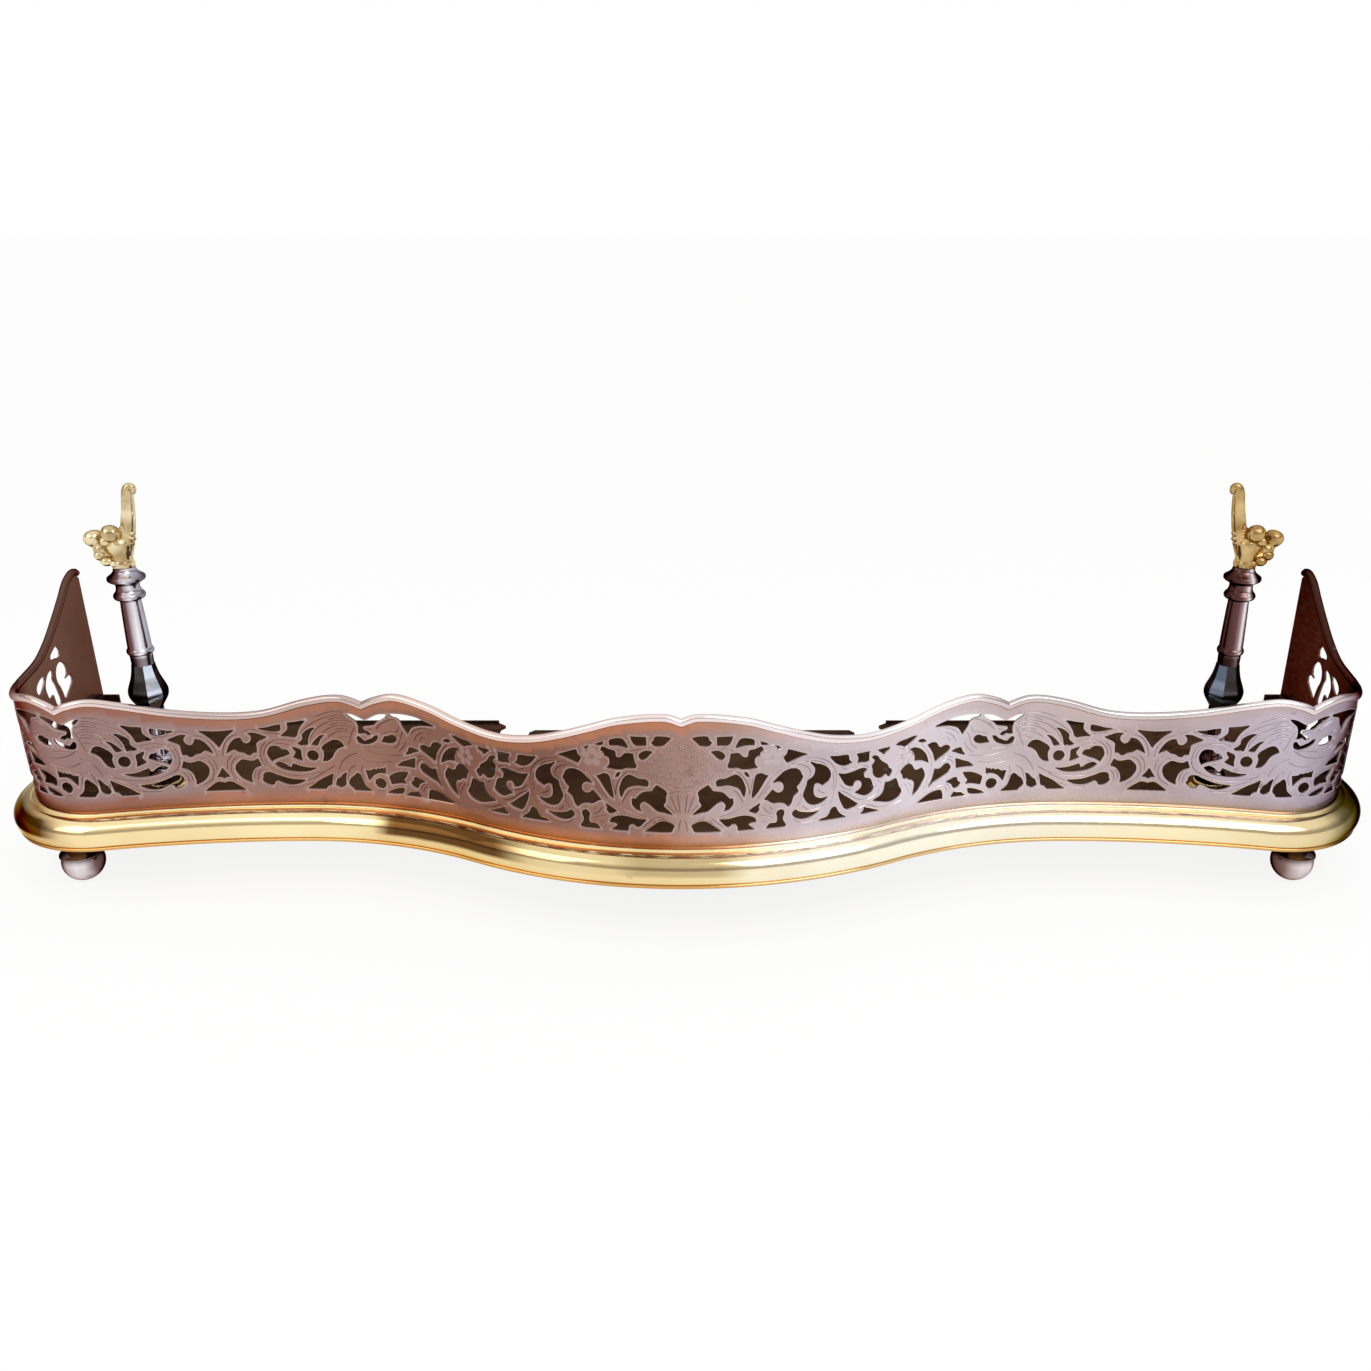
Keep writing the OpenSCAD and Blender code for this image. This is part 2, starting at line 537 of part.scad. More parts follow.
// the middle plate, drawn in one line from seam to seam and round its back
module middle_plate_outline() {
    last = [for (i = [0:len(floor_edge) - 1]) if (floor_edge[i].x < seam_x - fit / 2) i];
    front = [for (i = last) floor_edge[i]];
    seam_front = [seam_x - fit / 2, spot_y_at(seam_x)];
    back = [[seam_x - fit / 2, notch_end_y], [middle_half_w, notch_end_y],
        [middle_half_w, middle_back_y - 6], [middle_half_w - 5, middle_back_y]];
    right = concat(front, [seam_front], back);
    polygon(concat(right, [for (q = backwards(right)) if (q.x > EPS) [-q.x, q.y]]));
}

module outer_plate() color("darkolivegreen") difference() {
    union() {
        translate([0, 0, floor_z - floor_t]) linear_extrude(floor_t) outer_plate_outline();
        translate([seam_x + notch_w / 2 + 8, back_y - lip_t, floor_z - EPS])
            cube([half_w - sheet_t - 2 - seam_x - notch_w / 2 - 8, lip_t, lip_h + EPS]);
    }
    floor_fixings();
}
module floor_plate_right() outer_plate();
module floor_plate_left() on_left() outer_plate();
module floor_plate_middle() color("darkolivegreen") difference() {
    translate([0, 0, floor_z - floor_t]) linear_extrude(floor_t) middle_plate_outline();
    both_halves() seam_rivets_at() strap_hole();
    middle_rivets_at() strap_hole();
}

// holes of the right half: feet, rest, seam and cleat
module floor_fixings() {
    feet_at() translate([0, 0, floor_z - floor_t - 1]) cylinder(h = 10, d = stud_d + 2 * fit);
    feet_at() translate([0, 0, floor_z - floor_t / 2]) cylinder(h = 10, d = stud_head_d + 2 * fit);
    rest_at() translate([0, 0, floor_z - floor_t - 1]) cylinder(h = 10, d = rod_d + 2 * fit);
    seam_rivets_at() strap_hole();
    translate([cleat_x, cleat_foot_y, floor_z - floor_t - 1])
        cylinder(h = 10, d = rivet_d + 2 * fit);
}

// straps under the seams and along the back of the middle plate
seam_strap_w = 34;
strap_z = floor_z - floor_t - fit - strap_t;
seam_front_y = spot(seam_x * 1.02).y + sheet_t + bar_t + 14;
seam_back_y = notch_end_y - 4;
back_strap_w = 16;
back_strap_y = middle_back_y - back_strap_w - 1;
module strap_hole()
    translate([0, 0, strap_z - 1]) cylinder(h = strap_t + floor_t + 3, d = rivet_d + 2 * fit);
module seam_rivets_at()
    for (side = [-1, 1], t = [0.08, 0.36, 0.64, 0.92])
        translate([seam_x + side * seam_strap_w / 4,
            seam_front_y + (seam_back_y - seam_front_y) * t, 0]) children();
module middle_rivets_at()
    for (x = [-1, -0.5, 0, 0.5, 1])
        translate([x * (middle_half_w - 10), back_strap_y + back_strap_w / 2, 0]) children();

module seam_strap() color("dimgray") difference() {
    translate([seam_x - seam_strap_w / 2, seam_front_y, strap_z])
        cube([seam_strap_w, seam_back_y - seam_front_y, strap_t]);
    seam_rivets_at() strap_hole();
}
module seam_strap_right() seam_strap();
module seam_strap_left() on_left() seam_strap();
module back_strap() color("dimgray") difference() {
    translate([-middle_half_w + 3, back_strap_y, strap_z])
        cube([2 * middle_half_w - 6, back_strap_w, strap_t]);
    middle_rivets_at() strap_hole();
}

// ---- cleats: small angles that tie the wings to the floor ----
cleat_w = 16;
cleat_l = 14;
cleat_h = 34;
cleat_t = 2.5;
cleat_face_x = half_w - sheet_t - fit;
cleat_x = cleat_face_x - bar_t - rivet_d - 1.5;
cleat_foot_y = wing_end_y - cleat_l * 0.6;
cleat_rivet_y = wing_end_y - cleat_l * 0.6;
cleat_rivet_z = floor_z + cleat_h * 0.65;
module cleat() color("saddlebrown") difference() {
    translate([cleat_face_x - cleat_w, wing_end_y - cleat_l, floor_z + fit]) {
        cube([cleat_w, cleat_l, cleat_t]);
        translate([cleat_w - cleat_t, 0, 0]) cube([cleat_t, cleat_l, cleat_h]);
        translate([0, cleat_l - cleat_t, 0]) cube([cleat_w, cleat_t, cleat_h]);
    }
    side_hole(cleat_rivet_y, cleat_rivet_z);
    translate([cleat_x, cleat_foot_y, floor_z - 1]) cylinder(h = 10, d = rivet_d + 2 * fit);
}
module cleat_right() cleat();
module cleat_left() on_left() cleat();

// ---- feet ----
foot_front = [half_w - front_feet_in, front_y + front_feet_back];
foot_rear = [half_w - rear_feet_in, back_y - rear_feet_forward];
ball_r = ball_d / 2;
foot_flat = 0.6; // depth of the flat worn on the bottom of each ball
ball_z = ball_r - foot_flat;
collar_z = 27;
collar_t = 3;
foot_top_z = ball_z + ball_r + 2.5;
stud_d = 6;
stud_head_d = 11;
stud_foot_z = ball_z - 4;

module feet_at() {
    translate([foot_front.x, foot_front.y, 0]) children();
    translate([foot_rear.x, foot_rear.y, 0]) children();
}

module foot(place) color("lightslategray") translate([place.x, place.y, 0]) difference() {
    union() {
        translate([0, 0, ball_z]) sphere(r = ball_r);
        translate([0, 0, collar_z]) cylinder(h = collar_t, r = ball_r + 0.6);
        translate([0, 0, ball_z]) cylinder(h = foot_top_z - ball_z, d = pillar_d);
    }
    translate([-BIG / 2, -BIG / 2, -BIG]) cube(BIG);
    translate([0, 0, stud_foot_z]) cylinder(h = BIG, d = stud_d + 2 * fit);
}
module foot_front_right() foot(foot_front);
module foot_front_left() on_left() foot(foot_front);
module foot_rear_right() foot(foot_rear);
module foot_rear_left() on_left() foot(foot_rear);

module pillar(place) color("dimgray") translate([place.x, place.y, foot_top_z]) difference() {
    cylinder(h = floor_z - floor_t - foot_top_z, d = pillar_d);
    translate([0, 0, -1]) cylinder(h = BIG, d = stud_d + 2 * fit);
}
module pillar_front_right() pillar(foot_front);
module pillar_front_left() on_left() pillar(foot_front);
module pillar_rear_right() pillar(foot_rear);
module pillar_rear_left() on_left() pillar(foot_rear);

module foot_studs() color("silver") both_halves() feet_at() {
    translate([0, 0, stud_foot_z + fit]) cylinder(h = floor_z - stud_foot_z - fit, d = stud_d);
    translate([0, 0, floor_z - floor_t / 2]) cylinder(h = floor_t / 2, d = stud_head_d);
}

// ---- tool rests ----
rest_place = [half_w - rest_in, front_y + rest_back];
base_h = 11;
stem_top = baluster_z - 14;
baluster_top = baluster_z + 28;
column_top = baluster_z + 116;
cradle_foot = column_top;
rod_end = cradle_foot + 8;
nut_h = 5;

module rest_at() translate([rest_place.x, rest_place.y, 0]) children();
module turned_piece(profile) difference() {
    translate([0, 0, floor_z]) rotate_extrude() polygon(profile);
    translate([0, 0, floor_z - 1]) cylinder(h = rod_end + 1, d = rod_d + 2 * fit);
}

module rest_base() color("darkgoldenrod") rest_at() turned_piece([[0, 0], [17, 0], [17, 2.5],
    [15.5, 4], [14, 5], [13.2, 7], [13.6, 9], [12.6, base_h], [0, base_h]]);

module rest_stem() color("lightslategray") rest_at() turned_piece([[0, base_h], [11.5, base_h],
    [13, 13], [13, 18], [11.5, 20], [8.2, 22], [8.2, 27], [10.8, 28.5], [10.8, 34.5], [8, 36.5],
    [7.4, 48], [10, 49.5], [10, 52.5], [7.6, 54], [7.2, 66], [8.4, stem_top - 6],
    [10.2, stem_top - 3], [10.2, stem_top], [0, stem_top]]);

module rest_baluster() color("slategray") rest_at() difference() {
    translate([0, 0, floor_z]) rotate([0, 0, 22.5]) {
        translate([0, 0, stem_top]) cylinder(h = 14, r1 = 10.7, r2 = 17.6, $fn = 8);
        translate([0, 0, baluster_z]) cylinder(h = 28, r1 = 17.6, r2 = 10.4, $fn = 8);
    }
    translate([0, 0, floor_z]) cylinder(h = rod_end, d = rod_d + 2 * fit);
}

module rest_column() color("lightslategray") rest_at() turned_piece([[0, baluster_top],
    [9.8, baluster_top], [10.4, baluster_top + 10], [11.8, baluster_top + 11.5],
    [11.8, baluster_top + 14.5], [10.6, baluster_top + 16.5], [9.3, column_top - 29],
    [11, column_top - 27.5], [12.8, column_top - 26], [12.8, column_top - 23],
    [10.4, column_top - 20], [10.2, column_top - 16], [15.2, column_top - 12],
    [15.2, column_top - 8.5], [11.5, column_top - 5], [9.5, column_top], [0, column_top]]);

// cradle, drawn for the right rest: x outwards, z above its own foot; round stalks that
// start inside the cup, each ring [x, y, z, radius]
horn = [[-5, 0, 14, 6.5], [-8, 0, 24, 6.3], [-11, 0, 34, 6], [-13.2, 0, 46, 5.6], [-15.2, 0, 57, 5.2],
    [-16, 0, 62, 4.7], [-16.6, 0, 65.5, 3.6], [-17.6, 0, 68.4, 2.7], [-20, 0, 69.9, 2.7],
    [-22.4, 0, 68.6, 2.5], [-23.2, 0, 66, 2.1], [-23, 0, 64, 1.5]];
curl = [[-1, -2, 14, 5], [0, -4, 22, 6], [1, -5, 27, 7.8], [1, -5.5, 32, 7.2], [1, -5.5, 36, 4]];
bud = [[2, 0, 7, 5], [8, 0, 7.5, 5.5], [13, 0, 10, 5.8], [16.5, 0, 15, 5.6], [18.8, 0, 20, 6.4],
    [21, 0, 25, 7.6], [22.8, 0, 29.5, 5.8], [23.6, 0, 31.5, 3.2]];
function unit(v) = v / norm(v);
function place_of(q) = [q.x, q.y, q.z];
function stalk_ring(k, i) =
    let(a = place_of(k[max(i - 1, 0)]), b = place_of(k[min(i + 1, len(k) - 1)]),
        up = unit(cross([0, 1, 0], b - a)))
    [for (j = [0:bead_sides - 1]) let(g = 360 * j / bead_sides)
        place_of(k[i]) + k[i][3] * (cos(g) * up + sin(g) * [0, 1, 0])];
module stalk(k) swept([for (i = [0:len(k) - 1]) stalk_ring(k, i)]);
cup = [[0, 0], [9.5, 0], [11.5, 3], [11.5, 5], [8.5, 9], [9.5, 13], [12, 17], [13, 21], [12, 25],
    [8, 28], [0, 29]];
module rest_cradle() color("goldenrod") rest_at() translate([0, 0, floor_z + cradle_foot])
    difference() {
        union() {
            rotate_extrude() polygon(cup);
            stalk(horn);
            stalk(curl);
            stalk(bud);
        }
        translate([0, 0, -1]) cylinder(h = rod_end - cradle_foot + 1 + fit, d = rod_d + 2 * fit);
    }

module rest_rod() color("silver") rest_at()
    translate([0, 0, floor_z - floor_t - nut_h - 3])
        cylinder(h = rod_end + floor_t + nut_h + 3, d = rod_d);
module rest_nut() color("silver") rest_at()
    translate([0, 0, floor_z - floor_t - fit - nut_h]) difference() {
        cylinder(h = nut_h, d = 2 * rod_d, $fn = 6);
        translate([0, 0, -1]) cylinder(h = nut_h + 2, d = rod_d + 2 * fit);
    }
module rest_base_right() rest_base();
module rest_base_left() on_left() rest_base();
module rest_stem_right() rest_stem();
module rest_stem_left() on_left() rest_stem();
module rest_baluster_right() rest_baluster();
module rest_baluster_left() on_left() rest_baluster();
module rest_column_right() rest_column();
module rest_column_left() on_left() rest_column();
module rest_cradle_right() rest_cradle();
module rest_cradle_left() on_left() rest_cradle();
module rest_rod_right() rest_rod();
module rest_rod_left() on_left() rest_rod();
module rest_nut_right() rest_nut();
module rest_nut_left() on_left() rest_nut();

// ---- fasteners ----
head_h = 1.1;
head_d = rivet_d * 1.6;

// a rivet along z from 0 to grip, with a head at each end
module rivet(grip) {
    cylinder(h = grip, d = rivet_d);
    translate([0, 0, -head_h]) cylinder(h = head_h, d1 = head_d * 0.7, d2 = head_d);
    translate([0, 0, grip]) cylinder(h = head_h, d1 = head_d, d2 = head_d * 0.7);
}
module lap_rivet(s)
    at_length(s) translate([0, -2 * fit, rivet_z]) rotate([-90, 0, 0])
        rivet(sheet_t + bar_t + 4 * fit);
module frieze_rivets() color("dimgray") {
    for (s = rivet_lengths) {
        lap_rivet(s);
        if (s > 0) on_left() lap_rivet(s);
    }
    both_halves() for (y = side_rivets)
        translate([half_w + fit, y, rivet_z]) rotate([0, -90, 0]) rivet(sheet_t + bar_t + 2 * fit);
}

module mould_screw() {
    translate([0, 0, lip_z - fit]) cylinder(h = screw_top_z - lip_z - 1, d = rivet_d - 2 * fit);
    translate([0, 0, lip_z - fit - head_h]) cylinder(h = head_h, d1 = head_d * 0.8, d2 = head_d);
}
module moulding_screws() color("darkgoldenrod") {
    front_screws_at() mould_screw();
    both_halves() side_screws_at() mould_screw();
}

module strap_rivet() translate([0, 0, strap_z - fit]) rivet(strap_t + floor_t + 3 * fit);
module seam_rivets() color("dimgray") both_halves() seam_rivets_at() strap_rivet();
module back_rivets() color("silver") middle_rivets_at() strap_rivet();

module cleat_rivets() color("dimgray") both_halves() {
    translate([half_w + fit, cleat_rivet_y, cleat_rivet_z]) rotate([0, -90, 0])
        rivet(sheet_t + cleat_t + 3 * fit);
    translate([cleat_x, cleat_foot_y, floor_z - floor_t - fit]) rivet(floor_t + cleat_t + 3 * fit);
}

frieze_front();
wing_left();
wing_right();
rim_wing_left();
rim_outer_left();
rim_inner_left();
rim_inner_right();
rim_outer_right();
rim_wing_right();
moulding_front();
moulding_left();
moulding_right();
bar_front();
bar_left();
bar_right();
floor_plate_left();
floor_plate_middle();
floor_plate_right();
seam_strap_left();
seam_strap_right();
back_strap();
cleat_left();
cleat_right();
foot_front_left();
foot_front_right();
foot_rear_left();
foot_rear_right();
pillar_front_left();
pillar_front_right();
pillar_rear_left();
pillar_rear_right();
foot_studs();
rest_base_left();
rest_base_right();
rest_stem_left();
rest_stem_right();
rest_baluster_left();
rest_baluster_right();
rest_column_left();
rest_column_right();
rest_cradle_left();
rest_cradle_right();
rest_rod_left();
rest_rod_right();
rest_nut_left();
rest_nut_right();
frieze_rivets();
moulding_screws();
seam_rivets();
back_rivets();
cleat_rivets();
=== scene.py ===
import json
import math
import bmesh
import bpy
import numpy
from mathutils import Matrix, Vector, kdtree
from mathutils.geometry import delaunay_2d_cdt


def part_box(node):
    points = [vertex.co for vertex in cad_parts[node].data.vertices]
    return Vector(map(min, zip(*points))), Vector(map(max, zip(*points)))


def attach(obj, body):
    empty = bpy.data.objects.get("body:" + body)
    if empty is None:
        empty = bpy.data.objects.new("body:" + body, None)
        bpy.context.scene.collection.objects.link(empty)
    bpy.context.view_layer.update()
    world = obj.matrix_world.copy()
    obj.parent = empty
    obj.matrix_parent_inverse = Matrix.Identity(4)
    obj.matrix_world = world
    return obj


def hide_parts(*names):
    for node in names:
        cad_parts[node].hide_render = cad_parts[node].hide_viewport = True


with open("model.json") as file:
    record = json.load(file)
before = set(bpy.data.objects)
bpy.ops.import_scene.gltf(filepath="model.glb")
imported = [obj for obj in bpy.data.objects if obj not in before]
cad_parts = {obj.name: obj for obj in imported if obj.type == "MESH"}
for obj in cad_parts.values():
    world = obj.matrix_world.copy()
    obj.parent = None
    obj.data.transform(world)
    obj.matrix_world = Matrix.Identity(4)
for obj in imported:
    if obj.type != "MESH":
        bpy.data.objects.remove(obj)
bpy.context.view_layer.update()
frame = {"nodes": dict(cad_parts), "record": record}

mm = 0.001
joinGap = 1e-7  # metres within which two points are one
bothSides = ("Left", "Right")
print("frame loaded")


# mesh helpers; a shape is a list of points in millimetres and a list of faces
def meshObject(name, points, faces=(), edges=()):
    mesh = bpy.data.meshes.new(name)
    mesh.from_pydata([(x * mm, y * mm, z * mm) for x, y, z in points], edges, faces)
    mesh.validate()
    piece = bpy.data.objects.new(name, mesh)
    bpy.context.scene.collection.objects.link(piece)
    return piece


def shadeSmooth(piece, angle):
    piece.data.polygons.foreach_set("use_smooth", [True] * len(piece.data.polygons))
    piece.data.set_sharp_from_angle(angle=math.radians(angle))


# turns the faces outwards, shades the piece and paints it
def dress(piece, angle, material=None):
    bm = bmesh.new()
    bm.from_mesh(piece.data)
    bmesh.ops.remove_doubles(bm, verts=bm.verts, dist=joinGap)
    bmesh.ops.recalc_face_normals(bm, faces=bm.faces)
    bm.to_mesh(piece.data)
    bm.free()
    shadeSmooth(piece, angle)
    if material:
        piece.data.materials.append(material)


def place(piece, nodes):
    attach(piece, "root")
    if nodes:
        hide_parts(*nodes)


# shapes are drawn for the right side and mirrored for the left
def onSide(side, points, faces):
    if side == "Right":
        return points, faces
    return [(-x, y, z) for x, y, z in points], [tuple(reversed(f)) for f in faces]


def together(shapes):
    points, faces = [], []
    for theirPoints, theirFaces in shapes:
        faces += [tuple(len(points) + k for k in f) for f in theirFaces]
        points += theirPoints
    return points, faces


def shifted(points, dx, dy, dz):
    return [(x + dx, y + dy, z + dz) for x, y, z in points]


def sweptFaces(rings, sides):
    faces = []
    for i in range(rings - 1):
        for j in range(sides):
            a, b = i * sides + j, i * sides + (j + 1) % sides
            faces.append((a, b, b + sides, a + sides))
    return faces + [tuple(range(sides - 1, -1, -1)), tuple(range((rings - 1) * sides, rings * sides))]


def centreOf(node):
    low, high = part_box(node)
    return [(a + b) / 2 / mm for a, b in zip(low, high)][:2]


# plan of the fender, and heights that its pieces share
plan = {"bulge": 61.5, "hollowSet": 19.5, "hollowX": 335, "bulgeRadius": 380, "cornerRadius": 70}
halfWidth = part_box("frieze_front")[1][0] / mm
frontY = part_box("frieze_front")[0][1] / mm + plan["bulge"]  # front of the corners
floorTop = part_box("rest_base_right")[0][2] / mm
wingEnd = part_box("wing_right")[1][1] / mm
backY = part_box("floor_plate_right")[1][1] / mm


# the four arcs of the right half: centre, radius, first angle, turn, side of the centre
def planArcs():
    bulge, hollowSet, hollowX, bulgeR, cornerR = plan.values()  # in the order above
    swing = bulge + hollowSet
    hollowR = (hollowX * hollowX + swing * swing) / (2 * swing) - bulgeR
    dx = halfWidth - cornerR - hollowX
    dy = cornerR - hollowSet
    shoulderR = (dx * dx + dy * dy - cornerR * cornerR) / (2 * hollowSet)
    bulgeC = (0, frontY - bulge + bulgeR)
    hollowC = (hollowX, frontY + hollowSet - hollowR)
    shoulderC = (hollowX, frontY + hollowSet - shoulderR)
    cornerC = (halfWidth - cornerR, frontY + cornerR)
    quarter = math.pi / 2
    turn = quarter + math.atan2(hollowC[1] - bulgeC[1], hollowC[0] - bulgeC[0])
    turn2 = quarter - math.atan2(cornerC[1] - shoulderC[1], cornerC[0] - shoulderC[0])
    return [(bulgeC, bulgeR, -quarter, turn, 1), (hollowC, hollowR, quarter + turn, -turn, -1),
            (shoulderC, shoulderR, quarter, -turn2, -1),
            (cornerC, cornerR, -quarter - turn2, quarter + turn2, 1)]


arcs = planArcs()
frontEnd = sum(r * abs(turn) for c, r, a, turn, side in arcs)
wingStart = arcs[-1][0][1]
wingLength = wingEnd - wingStart


# x, y and outward normal at length s of the front, p outside the face; the left half is s < 0
def spot(s, p=0.0):
    if s < 0:
        x, y, nx, ny = spot(-s, p)
        return -x, y, -nx, ny
    for c, r, a, turn, side in arcs:
        run = r * abs(turn)
        if s <= run:
            g = a + turn * s / run
            nx, ny = side * math.cos(g), side * math.sin(g)
            return c[0] + r * side * nx + p * nx, c[1] + r * side * ny + p * ny, nx, ny
        s -= run
    return halfWidth + p, wingStart + s, 1.0, 0.0


# curves through given points
def hermite(t, a, b, slopeA, slopeB):
    return ((2 * t**3 - 3 * t**2 + 1) * a + (t**3 - 2 * t**2 + t) * slopeA
            + (3 * t**2 - 2 * t**3) * b + (t**3 - t**2) * slopeB)


# slopes at both ends of the span from a to b, fitted to uneven distances
def spanSlopes(before, a, b, after):
    length = (b - a).length
    return ((b - before) * length / max(length + (a - before).length, 1e-6),
            (after - a) * length / max((after - b).length + length, 1e-6))


# height at x of the curve through [x, height] points
def curveAt(knots, x):
    i = 0
    while i < len(knots) - 2 and x >= knots[i + 1][0]:
        i += 1

    def slope(k):
        a, b = knots[max(k - 1, 0)], knots[min(k + 1, len(knots) - 1)]
        return (b[1] - a[1]) / (b[0] - a[0])
    w = knots[i + 1][0] - knots[i][0]
    return hermite((x - knots[i][0]) / w, knots[i][1], knots[i + 1][1], w * slope(i), w * slope(i + 1))


# a closed outline, rounded except at its sharp corners
def smoothLoop(points, step=1.3, sharp=78):
    knots = [Vector(p) for p in points]
    n = len(knots)
    corner = [(knots[i] - knots[i - 1]).angle(knots[(i + 1) % n] - knots[i], 0) > math.radians(sharp)
              for i in range(n)]
    out = []
    for i in range(n):
        a, b = knots[i], knots[(i + 1) % n]
        slopeA, slopeB = spanSlopes(knots[i - 1], a, b, knots[(i + 2) % n])
        if corner[i]:
            slopeA = b - a
        if corner[(i + 1) % n]:
            slopeB = b - a
        count = max(1, round((b - a).length / step))
        out += [tuple(hermite(k / count, a, b, slopeA, slopeB)) for k in range(count)]
    return out


# an open curve, in spans of even steps or of so many parts
def openCurve(points, step=0.0, parts=4):
    knots = [Vector(p) for p in points]
    last = len(knots) - 1
    out = []
    for i in range(last):
        a, b = knots[i], knots[i + 1]
        slopeA = (b - knots[max(i - 1, 0)]) / (2 if i else 1)
        slopeB = (knots[min(i + 2, last)] - a) / (2 if i + 2 <= last else 1)
        count = max(1, round((b - a).length / step)) if step else parts
        out += [hermite(k / count, a, b, slopeA, slopeB) for k in range(count + (i == last - 1))]
    return out


def arcPoints(centre, r, first, last, parts):
    turns = [math.radians(first + (last - first) * i / parts) for i in range(parts + 1)]
    return [(centre[0] + r * math.cos(g), centre[1] + r * math.sin(g)) for g in turns]


def area(loop):
    return sum(a[0] * b[1] - b[0] * a[1] for a, b in zip(loop, loop[1:] + loop[:1])) / 2


def anticlockwise(loop):
    return loop if area(loop) > 0 else loop[::-1]


# moves each point square to the outline; a positive distance widens an anticlockwise loop
def offsetLoop(loop, distance):
    out = []
    for i in range(len(loop)):
        a, b, c = Vector(loop[i - 1]), Vector(loop[i]), Vector(loop[(i + 1) % len(loop)])
        u, v = (b - a).normalized(), (c - b).normalized()
        square, m = Vector((u.y, -u.x)), Vector((u.y + v.y, -u.x - v.x))
        m = m.normalized() if m.length > 0.2 else square  # the outline turns back
        stretch = min(1 / max(m.dot(square), 0.5), 1.6)  # no long spikes at sharp corners
        out.append(tuple(b + m * distance * stretch))
    return out


def inside(point, loop):
    x, y = point
    hit = False
    for (ax, ay), (bx, by) in zip(loop, loop[1:] + loop[:1]):
        if (ay > y) != (by > y) and x < (bx - ax) * (y - ay) / (by - ay) + ax:
            hit = not hit
    return hit


def pointTree(points):
    tree = kdtree.KDTree(len(points))
    for i, q in enumerate(points):
        tree.insert((q[0], q[1], 0), i)
    tree.balance()
    return tree


def gapTo(tree, q):
    return tree.find((q[0], q[1], 0))[2]


# top edge of the sheet, [along, above the floor], in three arches and a wing
drawn = {"half": 654, "wing": 120, "cusps": (292, 550)}
alongScale = frontEnd / drawn["half"]
sweeps = [
    [(0, 108), (14, 112.5), (50, 108.5), (75, 100.5), (100, 92), (125, 85), (155, 81), (180, 82.2),
     (205, 87), (230, 95), (260, 101), (278, 97), (292, 90.5)],
    [(292, 90.5), (312, 96.5), (340, 92.6), (380, 81.8), (415, 80.2), (460, 85), (500, 94),
     (524, 98.5), (540, 96), (550, 91.5)],
    [(550, 91.5), (562, 98), (577, 101), (610, 95), (640, 94), (654, 95.5)]]
wingSweep = [(0, 95.5), (26, 101.5), (46, 112), (66, 127), (86, 144), (98, 155), (107, 160),
             (114, 161), (120, 156)]


def frontTop(s):
    d = s / alongScale
    return curveAt(sweeps[sum(d >= cusp for cusp in drawn["cusps"])], d)


def wingTop(y):
    return curveAt(wingSweep, y / wingLength * drawn["wing"])


def topAt(s):
    return frontTop(s) if s < frontEnd else wingTop(s - frontEnd)
